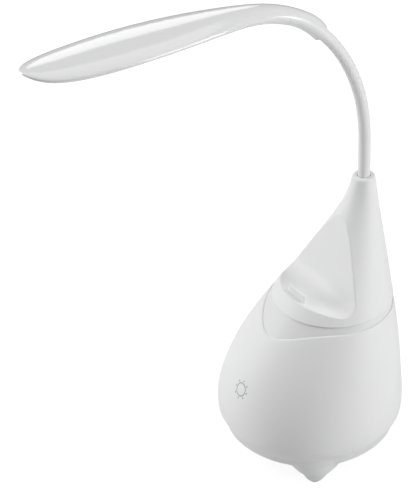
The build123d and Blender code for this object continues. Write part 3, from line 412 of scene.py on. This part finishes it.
# The skin's y changes with its level, so the two are brought to agree by halves.
edge = np.full(turns.shape, EDGE_TOP)
for _ in range(EDGE_TRIES):
    edge = 0.5 * edge + 0.5 * wavy_edge(body_skin(turns, edge, 0.0)[..., 1])
wall_shares = np.linspace(0, 1, WALL_ROWS)[:, None]
first = SEAM_LEVEL + SEAM_ROUND
last = edge - EDGE_ROUND
seam_corner = CORNER_SHARE * SEAM_ROUND
edge_corner = CORNER_SHARE * EDGE_ROUND
seam_rows = [
    body_skin(turns, SEAM_LEVEL + 0 * turns, SHELL_WALL),
    body_skin(turns, SEAM_LEVEL + 0 * turns, SEAM_ROUND),
    body_skin(turns, SEAM_LEVEL + seam_corner + 0 * turns, seam_corner),
]
outer_rows = body_skin(turns, first + (last - first) * wall_shares, 0.0)
top_rows = [
    body_skin(turns, edge - edge_corner, edge_corner),
    body_skin(turns, edge, EDGE_ROUND),
    body_skin(turns, edge, REBATE_WALL - REBATE_BREAK),
    body_skin(turns, edge - REBATE_BREAK, REBATE_WALL),
    body_skin(turns, edge - REBATE, REBATE_WALL),
    body_skin(turns, edge - REBATE, SHELL_WALL),
]
inside_shares = np.linspace(1, 0, INSIDE_ROWS)[1:-1, None]
inside_levels = SEAM_LEVEL + (edge - REBATE - SEAM_LEVEL) * inside_shares
inside_rows = body_skin(turns, inside_levels, SHELL_WALL)
lower_shell = make_piece(
    "lower_shell_skin",
    [(np.concatenate([*seam_rows, outer_rows, *top_rows, inside_rows]), True, True)],
)

WINDOW_NEAR, WINDOW_BEYOND = 50.0, 72.0  # y inside and outside the back wall
WINDOW_CORNER, WINDOW_SIDES = 0.25, 48


def rounded_box(turn, power):
    """Rounded square in u and v: sign(cos a) |cos a|^p and sign(sin a) |sin a|^p, the
    superellipse |u|^(2 / p) + |v|^(2 / p) = 1."""
    u = np.sign(np.cos(turn)) * np.abs(np.cos(turn)) ** power
    v = np.sign(np.sin(turn)) * np.abs(np.sin(turn)) ** power
    return u, v


def window_cutter(name, x, level, width, height):
    """Rounded box carried backwards through the wall, closed at both ends."""
    u, v = rounded_box(np.linspace(0, 2 * math.pi, WINDOW_SIDES, endpoint=False), WINDOW_CORNER)
    near, beyond = WINDOW_NEAR, WINDOW_BEYOND
    reach = np.array([(0.0, near), (1.0, near), (1.0, beyond), (0.0, beyond)])
    loop = [x + reach[:, :1] * u * width / 2, reach[:, 1:] + 0 * u,
            level + reach[:, :1] * v * height / 2]
    return make_piece(name, [(np.stack(loop, -1), False, True)])


cut_holes(
    lower_shell,
    [
        window_cutter("socket_window", -10.0, 44.2, 8.3, 3.5),
        window_cutter("switch_window", 10.0, 44.6, 5.1, 2.6),
    ],
)
give(lower_shell, SHELL_WHITE)
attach(lower_shell, "base")
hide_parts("lower_shell")

# ---------------------------------------------------------------- touch mark
# A small sun sign over the touch key: a thin ring and eight dots, pad-printed in grey on
# the front of the lower shell.

MARK_LEVEL = 68.6
MARK_LEAN = 0.92  # rise in level for each mm up the slope
MARK_RING = (4.25, 4.9)
MARK_DOTS, MARK_DOT_CIRCLE, MARK_DOT = 8, 6.25, 0.58
PRINT_OUT, PRINT_IN = 0.04, -0.1  # the print stands proud and reaches a little into the wall
print_depth = np.array([PRINT_OUT, PRINT_OUT, PRINT_IN, PRINT_IN])[:, None]


def on_front(u, v, out):
    """Point of the shell's front at u across and v up the slope from the mark's middle,
    standing out by a small distance."""
    level = MARK_LEVEL + MARK_LEAN * v
    radius, shift = body_ring(level)
    y = shift - np.sqrt((radius + out) ** 2 - u**2)
    return np.stack([u, y, level], -1)


mark_turn = np.linspace(0, 2 * math.pi, 96, endpoint=False)[None, :]
ring_in, ring_out = MARK_RING
ring_far = np.array([ring_in, ring_out, ring_out, ring_in])[:, None]
ring_points = on_front(
    ring_far * np.sin(mark_turn), ring_far * np.cos(mark_turn), print_depth
)
mark = [(ring_points, True, True)]
dot_turn = np.linspace(0, 2 * math.pi, 24, endpoint=False)[None, :]
dot_far = np.array([0.0, MARK_DOT, MARK_DOT, 0.0])[:, None]
for number in range(MARK_DOTS):
    angle = 2 * math.pi * number / MARK_DOTS
    across = MARK_DOT_CIRCLE * math.sin(angle) + dot_far * np.sin(dot_turn)
    upward = MARK_DOT_CIRCLE * math.cos(angle) + dot_far * np.cos(dot_turn)
    mark.append((on_front(across, upward, print_depth), False, True))
touch_mark = make_piece("touch_mark", mark)
give(touch_mark, finish_in("mark_grey", (0.36, 0.365, 0.375), 0.5, mottle=0.05))
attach(touch_mark, "base")

# ---------------------------------------------------------------- band
# The recessed ring under the cap's edge: the skin of an inner ABS frame with a plate across it,
# coloured a shade darker than the shell as painted shade for the recess. The cover stands on the
# plate, screwed down from above.

FIT_GAP = 0.05  # between the inner frame and the shell's wall
BAND_INSET = SHELL_WALL + FIT_GAP
BAND_RECESS = REBATE_WALL + FIT_GAP
BAND_WALL = 1.8
BAND_FOOT, BAND_TOP, BAND_LIP = 90.0, 119.6, 121.2
BAND_ROWS = 24
PLATE_LEVELS = (118.5, 116.5)
PLATE_Y = 17.0
band_low = np.full((1, 1), BAND_FOOT)
band_high = np.full((1, 1), BAND_LIP)
band_step = edge - REBATE - FIT_GAP
band_levels = band_step + (BAND_TOP - band_step) * np.linspace(0, 1, BAND_ROWS)[:, None]
plate_edge = body_skin(turns, np.array(PLATE_LEVELS)[:, None], BAND_INSET + BAND_WALL)
plate_middle = plate_edge.copy()
plate_middle[..., 0], plate_middle[..., 1] = 0.0, PLATE_Y
band_rows = [
    body_skin(turns, band_low, BAND_INSET),
    body_skin(turns, band_step, BAND_INSET),
    body_skin(turns, band_levels, BAND_RECESS),
    body_skin(turns, np.array([[BAND_TOP], [BAND_LIP]]), BAND_INSET),
    body_skin(turns, band_high, BAND_INSET + BAND_WALL),
    plate_edge[:1],
    plate_middle,
    plate_edge[1:],
    body_skin(turns, band_low, BAND_INSET + BAND_WALL),
]
band = make_piece("band_skin", [(np.concatenate(band_rows), True, True)])
# The band's colour is a shade darker than the shell's white: painted shade for the recess under
# the cap.
give(band, finish_in("band_white", (0.82, 0.822, 0.828), 0.5, bump=0.08))
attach(band, "base")
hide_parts("band_frame")

# ---------------------------------------------------------------- top cover
# The cone with the telephone rest scooped into its front, one thin-walled moulding in
# satin ABS. The scoop has a nearly level floor, a rounded trough and a straight back wall
# that runs up to a point; the collar at the top is rounded over round the neck.

COVER_LEVEL = 119.7
COLLAR_TOP = 207.6
COLLAR_ROUND = 1.8
NECK_Y = 44.6
SCOOP_LIP = np.array([-15.7, 128.9])
SCOOP_TROUGH = np.array([11.2, 122.9])
SCOOP_TOP = np.array([26.0, 181.3])
SCOOP_RADIUS = 11.0
SCOOP_EDGE = 0.9
SCOOP_OVERRUN = (3, 6)  # the floor and the back wall run on this far past the skin
CEILING_RISE, CEILING_Y = 1.8, 18.0  # a flat ceiling closes the cover from below
SLEEVE_RADIUS = 4.15  # of the gooseneck's skin, which leaves through the collar's mouth
MOUTH_GAP = 0.3
COLLAR_LIP = np.array([(0.35, 0.0), (0.1, -0.1), (0.0, -0.4), (0.0, -7.0)])  # out, drop


def scoop_profile(count):
    """Side view of the rest: floor line, arc of the trough's radius, back wall line."""
    floor = (SCOOP_LIP - SCOOP_TROUGH) / np.linalg.norm(SCOOP_LIP - SCOOP_TROUGH)
    wall = (SCOOP_TOP - SCOOP_TROUGH) / np.linalg.norm(SCOOP_TOP - SCOOP_TROUGH)
    half = math.acos(float(floor @ wall)) / 2
    reach = SCOOP_RADIUS / math.tan(half)
    middle = (floor + wall) / np.linalg.norm(floor + wall)
    centre = SCOOP_TROUGH + middle * SCOOP_RADIUS / math.sin(half)
    start, end = SCOOP_TROUGH + floor * reach, SCOOP_TROUGH + wall * reach
    a0 = math.atan2(start[1] - centre[1], start[0] - centre[0])
    a1 = math.atan2(end[1] - centre[1], end[0] - centre[0])
    bend = np.linspace(a0, a1, count)
    arc = centre + SCOOP_RADIUS * np.stack([np.cos(bend), np.sin(bend)], -1)
    over_floor, over_wall = SCOOP_OVERRUN
    lip, top = SCOOP_LIP + floor * over_floor, SCOOP_TOP + wall * over_wall
    before = start + (lip - start) * np.linspace(1, 0, count)[:-1, None]
    after = end + (top - end) * np.linspace(0, 1, count)[1:, None]
    line = np.concatenate([before, arc, after])
    steps = np.linalg.norm(np.diff(line, axis=0), axis=1)
    return line, np.concatenate([[0], np.cumsum(steps)])


scoop_line, scoop_length = scoop_profile(400)
radius, shift = body_ring(scoop_line[:, 1])
half_width_sq = radius**2 - (scoop_line[:, 0] - shift) ** 2
inside = np.where(half_width_sq > 0)[0]


def crossing(before, after):
    """Length along the profile where it passes through the skin, between two points."""
    share = half_width_sq[before] / (half_width_sq[before] - half_width_sq[after])
    return scoop_length[before] + share * (scoop_length[after] - scoop_length[before])


start_mark = crossing(inside[0], inside[0] - 1)
end_mark = crossing(inside[-1], inside[-1] + 1)


def scoop_side(mark):
    """The rest's side profile at a length along it, and half its width there."""
    y = np.interp(mark, scoop_length, scoop_line[:, 0])
    z = np.interp(mark, scoop_length, scoop_line[:, 1])
    radius, shift = body_ring(z)
    return y, z, np.sqrt(np.maximum(radius**2 - (y - shift) ** 2, 0))


# The cover's skin is a fan of straight rays in the plane of turn and level, from the
# scoop's edge out to the rim, the line down the back and the collar.
FAN_CENTRE = 150.0
FAN_SCALE = 40.0  # mm that one radian of turn counts for
RIM_RAYS, BACK_RAYS, COLLAR_RAYS = 110, 56, 40
CROWDING = 1.6  # draws the rays together at the scoop's two ends
NEARLY_NONE = 1e-9
share = 0.5 - 0.5 * np.cos(np.linspace(0, math.pi, 3000))
fine_mark = start_mark + (end_mark - start_mark) * share
y, z, half = scoop_side(fine_mark)
radius, shift = body_ring(z)
edge_turn = np.arctan2(half, shift - y)
edge_angle = np.arctan2(z - FAN_CENTRE, edge_turn * FAN_SCALE)
edge_angle[0], edge_angle[-1] = -math.pi / 2, math.pi / 2
rim_low = COVER_LEVEL + SCOOP_EDGE
rim_high = COLLAR_TOP - COLLAR_ROUND
corner_low = math.atan2(rim_low - FAN_CENTRE, math.pi * FAN_SCALE)
corner_high = math.atan2(rim_high - FAN_CENTRE, math.pi * FAN_SCALE)

first_mark = np.interp(corner_low, edge_angle, fine_mark)
last_mark = np.interp(corner_high, edge_angle, fine_mark)
rim_shares = np.linspace(0, 1, RIM_RAYS, endpoint=False) ** CROWDING
rim_marks = start_mark + (first_mark - start_mark) * rim_shares
back_marks = np.linspace(first_mark, last_mark, BACK_RAYS, endpoint=False)
collar_shares = np.linspace(1, 0, COLLAR_RAYS) ** CROWDING
collar_marks = end_mark - (end_mark - last_mark) * collar_shares
marks = np.concatenate([rim_marks, back_marks, collar_marks])
y, z, half = scoop_side(marks)
half[0] = half[-1] = 0.0
radius, shift = body_ring(z)
turn = np.arctan2(half, shift - y)
angle = np.arctan2(z - FAN_CENTRE, turn * FAN_SCALE)
angle[0], angle[-1] = -math.pi / 2, math.pi / 2
angle[RIM_RAYS], angle[RIM_RAYS + BACK_RAYS] = corner_low, corner_high
out_x = np.cos(angle)
out_y = np.sin(angle)
far_bottom = (rim_low - FAN_CENTRE) / np.minimum(out_y, -NEARLY_NONE)
far_top = (rim_high - FAN_CENTRE) / np.maximum(out_y, NEARLY_NONE)
far_back = math.pi * FAN_SCALE / np.maximum(out_x, NEARLY_NONE)
reach_out = np.minimum(far_back, np.where(out_y < 0, far_bottom, far_top))
reach_in = np.hypot(turn * FAN_SCALE, z - FAN_CENTRE)
# The whole edge is one loop: up the right side and down the left.
side = np.concatenate([np.ones(len(marks)), -np.ones(len(marks) - 2)])
loop = np.concatenate([np.arange(len(marks)), np.arange(len(marks) - 2, 0, -1)])
marks, half, angle = marks[loop], half[loop] * side, angle[loop]
reach_in, reach_out = reach_in[loop], reach_out[loop]


def ray_point(share):
    """Skin point at a share of the way along each ray."""
    distance = reach_in + (reach_out - reach_in) * share
    turn = side * distance * np.cos(angle) / FAN_SCALE
    level = FAN_CENTRE + distance * np.sin(angle)
    turn = np.where(np.abs(np.abs(angle) - math.pi / 2) < NEARLY_NONE, 0.0, turn)
    return body_skin(turn, level, 0.0)


def floor_point(share):
    """Point of the rest at a share of the way from its edge to its middle."""
    middle = 0.5 * (start_mark + end_mark)
    mark = marks + (middle - marks) * share
    y = np.interp(mark, scoop_length, scoop_line[:, 0])
    z = np.interp(mark, scoop_length, scoop_line[:, 1])
    return np.stack([half * (1 - share), y, z], -1)


def share_for(path, distance):
    """Share of a path that lies a distance from its start: distance over speed, then
    scaled three times by distance over the chord that it gives."""
    step, least, most = 1e-3, 1e-6, 0.6
    speed = np.linalg.norm(path(step) - path(0.0), axis=-1) / step
    share = distance / np.maximum(speed, least)
    for _ in range(3):
        length = np.linalg.norm(path(share) - path(0.0), axis=-1)
        share = share * distance / np.maximum(length, least)
    return np.clip(share, 0, most)


# Rows from the scoop's middle to its edge, over the rounded edge, and out along the rays.
# The rounded edge is (1 - s)^2 a + 2 s (1 - s) b + s^2 c, with the sharp edge as b.
FLOOR_ROWS, EDGE_ROWS, SKIN_ROWS = 40, 5, 44
SKIN_CROWDING = 1.35
ON_THE_LINE = 1e-6
edge_points = ray_point(0.0)
ray_start = share_for(ray_point, SCOOP_EDGE)
floor_start = share_for(floor_point, SCOOP_EDGE)
out_rows = [
    ray_point(ray_start + (1 - ray_start) * s)
    for s in np.linspace(0, 1, SKIN_ROWS) ** SKIN_CROWDING
]
in_rows = [
    floor_point(floor_start + (1 - floor_start) * s) for s in np.linspace(0, 1, FLOOR_ROWS)
]
edge_rows = [
    (1 - s) ** 2 * in_rows[0] + 2 * s * (1 - s) * edge_points + s**2 * out_rows[0]
    for s in np.linspace(0, 1, EDGE_ROWS + 2)[1:-1]
]
cover_grid = np.stack([*in_rows[::-1], *edge_rows, *out_rows])

# The rim, rounded under, and the flat ceiling inside it.
border = out_rows[-1]
rim_points = border[np.abs(border[:, 2] - rim_low) < ON_THE_LINE]
rim_turn = np.arctan2(rim_points[:, 0], body_ring(rim_low)[1] - rim_points[:, 1])
rim_turn = np.sort(rim_turn)
rim_turn = rim_turn[np.concatenate([[True], np.diff(rim_turn) > 1e-7])][None, :]
corner = np.linspace(0, math.pi / 2, 6)[:, None]
rim_rows = body_skin(
    rim_turn,
    rim_low - SCOOP_EDGE * np.sin(corner),
    SCOOP_EDGE * (1 - np.cos(corner)),
)
ceiling_level = COVER_LEVEL + CEILING_RISE
flat_rows = body_skin(rim_turn, np.array([[COVER_LEVEL], [ceiling_level]]), SHELL_WALL)
ceiling = np.stack([0 * rim_turn, 0 * rim_turn + CEILING_Y, 0 * rim_turn + ceiling_level], -1)
rim_grid = np.concatenate([rim_rows, flat_rows, ceiling])

# The collar, rounded over at its top and closed inside its mouth.
top_radius, top_shift = body_ring(rim_high)
top_points = border[np.abs(border[:, 2] - rim_high) < ON_THE_LINE]
top_turn = np.arctan2(top_points[:, 0], top_shift - top_points[:, 1])
top_turn = np.unique(np.round(top_turn, 9))[None, :]
mouth = SLEEVE_RADIUS + MOUTH_GAP
over = np.linspace(0, math.pi / 2, 9)
collar_far = np.concatenate(
    [top_radius - COLLAR_ROUND * (1 - np.cos(over)), mouth + COLLAR_LIP[:, 0], [0.0]]
)
collar_level = np.concatenate(
    [
        rim_high + COLLAR_ROUND * np.sin(over),
        COLLAR_TOP + COLLAR_LIP[:, 1],
        COLLAR_TOP + COLLAR_LIP[-1:, 1],
    ]
)
centre_share = np.ones(len(collar_far))
centre_share[:len(over)] = np.linspace(0, 1, len(over))
collar_centre = top_shift + (NECK_Y - top_shift) * centre_share
collar_grid = np.stack(
    [
        collar_far[:, None] * np.sin(top_turn),
        collar_centre[:, None] - collar_far[:, None] * np.cos(top_turn),
        collar_level[:, None] + 0 * top_turn,
    ],
    -1,
)
COVER_CREASE = 50.0
top_cover = make_piece(
    "top_cover_skin",
    [(cover_grid, False, True), (rim_grid, False, True), (collar_grid, False, True)],
    sharp=COVER_CREASE,
)
give(top_cover, SHELL_WHITE)
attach(top_cover, "base")
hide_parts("top_cover")

# The stop: a small upright lip near the front of the rest that keeps the telephone from
# sliding off, moulded in one with the cover.
STOP_WIDTH, STOP_THICK, STOP_HIGH = 18.6, 1.8, 6.4
STOP_BACK = 4.2  # from the rest's front lip
STOP_SINK = 1.0  # how far its foot reaches into the floor
STOP_CORNER, STOP_SIDES = 0.2, 64
STOP_ROUND = np.array([(0.0, 0.7), (0.12, 0.3), (0.35, 0.08), (0.6, 0.0), (0.9, 0.0)])
rise = (SCOOP_LIP[1] - SCOOP_TROUGH[1]) / (SCOOP_LIP[0] - SCOOP_TROUGH[0])
stop_y = SCOOP_LIP[0] + STOP_BACK
stop_floor = SCOOP_LIP[1] + rise * STOP_BACK
around = np.linspace(0, 2 * math.pi, STOP_SIDES, endpoint=False)[None, :]
u, v = rounded_box(around, STOP_CORNER)
stop_in = np.concatenate([[0.0, 0.0], STOP_ROUND[:, 0]])[:, None]
stop_up = np.concatenate([[-STOP_SINK, 0.0], STOP_HIGH - STOP_ROUND[:, 1]])[:, None]
stop_rows = np.stack(
    [
        u * (STOP_WIDTH / 2 - stop_in),
        stop_y + STOP_THICK / 2 + v * (STOP_THICK / 2 - stop_in),
        stop_floor + stop_up + 0 * around,
    ],
    -1,
)
stop_foot = stop_rows[:1].copy()
stop_foot[..., 0] = 0.0
stop_foot[..., 1] = stop_y + STOP_THICK / 2
telephone_stop = make_piece(
    "telephone_stop", [(np.concatenate([stop_foot, stop_rows]), False, True)]
)
give(telephone_stop, SHELL_WHITE)
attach(telephone_stop, "base")

# ---------------------------------------------------------------- neck sleeve
# The gooseneck's skin: a satin white silicone tube, drawn over the ball links in one
# length. It is divided here halfway along each link, and each length follows the smooth curve
# of the route over the hinge inside it.

SLEEVE_WALL = 0.4
SLEEVE_ROWS = 24
BEND_REACH, LAST_BEND_REACH = 7.0, 5.0  # distance to either side of each hinge along the route
COLLAR_START = [(44.6, 201.0), (44.6, 206.0)]  # y and level, down inside the collar
NECK_JOINTS = np.array(
    [(44.6, 214.0), (44.6, 231.0), (43.933, 247.983), (41.539, 264.802), (37.056, 281.189),
     (30.555, 296.884), (22.163, 311.656), (11.859, 325.158)]
)
HEAD_END = [(7.2, 330.2), (3.4, 333.7)]
route = np.concatenate([COLLAR_START, NECK_JOINTS, HEAD_END])
route_steps = np.linalg.norm(np.diff(route, axis=0), axis=1)
route_mark = np.concatenate([[0], np.cumsum(route_steps)])
joint_mark = route_mark[len(COLLAR_START):-len(HEAD_END)]
halfway = 0.5 * (joint_mark[:-1] + joint_mark[1:])
cuts = np.concatenate([[0.0], halfway, [route_mark[-1]]])
SLEEVE = finish_in("skin_white", (0.85, 0.852, 0.858), 0.42, grain=1600.0, bump=0.04)
around = np.linspace(0, 2 * math.pi, 56, endpoint=False)[None, :]


def along_route(mark):
    """The sleeve's centre line and its unit direction at a length along it."""
    step = 0.05
    here = smooth_through(route_mark, route, mark)
    ahead = smooth_through(route_mark, route, np.minimum(mark + step, route_mark[-1]))
    back = smooth_through(route_mark, route, np.maximum(mark - step, 0.0))
    along = ahead - back
    return here, along / np.linalg.norm(along, axis=-1, keepdims=True)


def tube_rows(mark, radius):
    """Circles square to the route: centre + r (cos a across, sin a upward)."""
    here, along = along_route(mark)
    normal = np.stack([-along[:, 1], along[:, 0]], -1)
    return np.stack(
        [
            radius[:, None] * np.cos(around) + 0 * here[:, :1],
            here[:, :1] + radius[:, None] * np.sin(around) * normal[:, :1],
            here[:, 1:] + radius[:, None] * np.sin(around) * normal[:, 1:],
        ],
        -1,
    )


sleeve_nodes = ["neck_skin_base"] + [f"neck_skin_{k}" for k in range(1, 8)]
for k, sleeve_node in enumerate(sleeve_nodes):
    last_one = k == len(sleeve_nodes) - 1
    mark = np.linspace(cuts[k], cuts[k + 1], SLEEVE_ROWS)
    outer = tube_rows(mark, np.full(SLEEVE_ROWS, SLEEVE_RADIUS))
    inner = tube_rows(mark[::-1], np.full(SLEEVE_ROWS, SLEEVE_RADIUS - SLEEVE_WALL))
    sleeve = make_piece(f"neck_sleeve_{k + 1}", [(np.concatenate([outer, inner]), True, True)])
    give(sleeve, SLEEVE)
    bend_reach = LAST_BEND_REACH if last_one else BEND_REACH
    ends, _ = along_route(np.array([joint_mark[k] - bend_reach, joint_mark[k] + bend_reach]))
    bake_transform(sleeve)
    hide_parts(sleeve_node)
    if last_one:
        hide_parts("head_skin")

# ---------------------------------------------------------------- head
# The lamp head: a long leaf of polished white ABS in an upper and a lower shell, closed
# at the root by a short clamp, with a milky window under it for the LEDs.

HEAD_WHITE = finish_in(
    "head_white", (0.87, 0.872, 0.878), 0.12, grain=900.0, bump=0.015, mottle=0.012,
    Coat_Weight=0.5, Coat_Roughness=0.05,
)
for name in ("head_top", "head_bottom", "head_clamp"):
    give(frame["nodes"][name], HEAD_WHITE)
give(
    frame["nodes"]["diffuser"],
    finish_in("milky_window", (0.92, 0.92, 0.90), 0.35, bump=0.05, Subsurface_Weight=0.15),
)

# ---------------------------------------------------------------- what is inside
# Screws, boards, cell, ballast and loudspeaker, each in its own usual material; they show
# only through the windows and the grille.

KIND_FINISH = {  # roughness, metallic and bump
    "brushed_steel": (0.32, 1.0, 0.1),
    "cast_iron": (0.6, 0.6, 0.4),
    "aluminium": (0.4, 0.3, 0.1),
    "painted_metal": (0.4, 0.1, 0.1),
    "brass": (0.3, 1.0, 0.1),
    "rubber": (0.75, 0.0, 0.3),
    "matte_plastic": (0.5, 0.0, 0.15),
    "gloss_plastic": (0.2, 0.0, 0.05),
}


def needs_finish(node):
    """True where a node shows and no section above gave it a finish on the shader group."""
    if node.hide_render:
        return False
    material = node.data.materials[0] if node.data.materials else None
    if material is None or not material.node_tree:
        return True
    return not any(step.type == "GROUP" for step in material.node_tree.nodes)


materials = {entry["slot"]: entry for entry in frame["record"]["materials"]}
inner_finish = {}
for part in frame["record"]["subparts"]:
    node, slot = frame["nodes"][part["node"]], part["material_slot"]
    if not needs_finish(node):
        continue
    if slot not in inner_finish:
        kind = materials[slot]
        rough, metal, bump = KIND_FINISH[kind["class"]]
        inner_finish[slot] = finish_in(
            "inner_" + slot, kind["base_color"][:3], rough, bump=bump, mottle=0.06, Metallic=metal
        )
    give(node, inner_finish[slot])

# ---------------------------------------------------------------- floor and light
# A plain white table in a studio: a big softbox overhead, one at each side, and a weak one
# behind. The floor is plain to the lens and still takes the lamp's shadow.

VIEW_AZIMUTH = math.radians(58.0)
VIEW_HEIGHT = math.radians(34.0)
VIEW_ROLL = math.radians(-1.47828)
FLOOR_REACH = 6  # m from the origin to the floor's edge
FLOOR_GLOW = 0.88  # how bright the floor looks to the lens by itself
SHADOW_FAINT = 0.7  # share of the floor's own shading that the lens doesn't see
SKY_LIGHT, SKY_SEEN = 0.15, 0.93  # strength on the object, and to the lens
floor_mesh = bpy.data.meshes.new("table_top")
floor_corners = [(-1, -1), (1, -1), (1, 1), (-1, 1)]
floor_mesh.from_pydata(
    [(x * FLOOR_REACH, y * FLOOR_REACH, 0) for x, y in floor_corners], [], [(0, 1, 2, 3)]
)
table_top = bpy.data.objects.new("table_top", floor_mesh)
bpy.context.scene.collection.objects.link(table_top)
table_white = bpy.data.materials.new("table_white")
table_white.use_nodes = True
table_white.cycles.emission_sampling = "NONE"
nodes, links = table_white.node_tree.nodes, table_white.node_tree.links
surface = nodes["Principled BSDF"]
surface.inputs["Base Color"].default_value = (0.8, 0.8, 0.8, 1)
surface.inputs["Roughness"].default_value = 0.9
surface.inputs["Specular IOR Level"].default_value = 0.0
glow = nodes.new("ShaderNodeEmission")
glow.inputs["Strength"].default_value = FLOOR_GLOW
both = nodes.new("ShaderNodeAddShader")
path = nodes.new("ShaderNodeLightPath")
choose = nodes.new("ShaderNodeMixShader")
faint = nodes.new("ShaderNodeMixShader")
faint.inputs[0].default_value = SHADOW_FAINT
black = nodes.new("ShaderNodeEmission")
black.inputs["Strength"].default_value = 0.0
links.new(surface.outputs[0], faint.inputs[1])
links.new(black.outputs[0], faint.inputs[2])
links.new(faint.outputs[0], both.inputs[0])
links.new(glow.outputs[0], both.inputs[1])
links.new(path.outputs["Is Camera Ray"], choose.inputs[0])
links.new(surface.outputs[0], choose.inputs[1])
links.new(both.outputs[0], choose.inputs[2])
links.new(choose.outputs[0], nodes["Material Output"].inputs["Surface"])
give(table_top, table_white)

world = bpy.data.worlds.new("studio")
bpy.context.scene.world = world
world.use_nodes = True
sky_nodes, sky_links = world.node_tree.nodes, world.node_tree.links
sky = sky_nodes["Background"]
sky.inputs["Color"].default_value = (1, 1, 1, 1)
sky.inputs["Strength"].default_value = SKY_LIGHT
seen = sky_nodes.new("ShaderNodeBackground")
seen.inputs["Color"].default_value = (1, 1, 1, 1)
seen.inputs["Strength"].default_value = SKY_SEEN
sky_path = sky_nodes.new("ShaderNodeLightPath")
sky_choose = sky_nodes.new("ShaderNodeMixShader")
sky_links.new(sky_path.outputs["Is Camera Ray"], sky_choose.inputs[0])
sky_links.new(sky.outputs[0], sky_choose.inputs[1])
sky_links.new(seen.outputs[0], sky_choose.inputs[2])
sky_links.new(sky_choose.outputs[0], sky_nodes["World Output"].inputs["Surface"])

right = np.array([math.cos(VIEW_AZIMUTH), math.sin(VIEW_AZIMUTH), 0.0])
ahead = np.array([math.sin(VIEW_AZIMUTH), -math.cos(VIEW_AZIMUTH), 0.0])
LAMP_MIDDLE = np.array([0.0, -0.06, 0.16])


def softbox(name, place, size, power):
    """Area lamp at a place, with its face square to the line to the object's middle."""
    data = bpy.data.lights.new(name, "AREA")
    data.shape = "RECTANGLE"
    data.size, data.size_y = size
    data.energy = power
    lamp = bpy.data.objects.new(name, data)
    bpy.context.scene.collection.objects.link(lamp)
    aim = LAMP_MIDDLE - place
    aim = aim / np.linalg.norm(aim)
    straight_down = abs(aim[2]) >= 0.98
    side = np.array([1.0, 0, 0]) if straight_down else np.cross(aim, (0, 0, 1))
    side = side / np.linalg.norm(side)
    top = np.cross(side, aim)
    turn = np.eye(4)
    turn[:3, 0], turn[:3, 1], turn[:3, 2], turn[:3, 3] = side, top, -aim, place
    lamp.matrix_world = Matrix(turn.tolist())


# For each box: metres to the viewer's right, towards the viewer and up from the object's
# middle, then its size in m and its power in W.
for name, to_right, to_viewer, up, size, power in (
    ("overhead_box", 0.0, 0.0, 1.1, (1.4, 1.4), 6.1),
    ("left_box", -1.08, -0.2, 0.4, (0.6, 1.2), 8.9),
    ("right_box", 1.02, 0.42, 0.3, (0.5, 1.2), 8.4),
):
    place = LAMP_MIDDLE + to_right * right + to_viewer * ahead + np.array([0, 0, up])
    softbox(name, place, size, power)
softbox("back_box", LAMP_MIDDLE + np.array([-1.0, 0.56, 0.62]), (0.5, 0.35), 0.9)

# ---------------------------------------------------------------- camera
# The photograph's long lens: from the object's right front, looking down on it, and
# rolled a little. Its place and length were fitted to the circles on the body.

LENS = 177.407
CAMERA_PLACE = (1.14200182, -0.84335898, 1.10325722)
upward = np.array([-math.sin(VIEW_AZIMUTH) * math.sin(VIEW_HEIGHT),
                   math.cos(VIEW_AZIMUTH) * math.sin(VIEW_HEIGHT), math.cos(VIEW_HEIGHT)])
toward = np.cross(right, upward)
roll_right = right * math.cos(VIEW_ROLL) + upward * math.sin(VIEW_ROLL)
roll_up = -right * math.sin(VIEW_ROLL) + upward * math.cos(VIEW_ROLL)
camera_data = bpy.data.cameras.new("photo_camera")
camera_data.sensor_fit = "AUTO"
camera_data.sensor_width = 36.0
camera_data.lens = LENS
camera_data.clip_end = 20.0
camera = bpy.data.objects.new("photo_camera", camera_data)
bpy.context.scene.collection.objects.link(camera)
stand = np.eye(4)
stand[:3, 0], stand[:3, 1], stand[:3, 2] = roll_right, roll_up, toward
stand[:3, 3] = CAMERA_PLACE
camera.matrix_world = Matrix(stand.tolist())
bpy.context.scene.camera = camera
bpy.context.scene.view_settings.view_transform = "Standard"
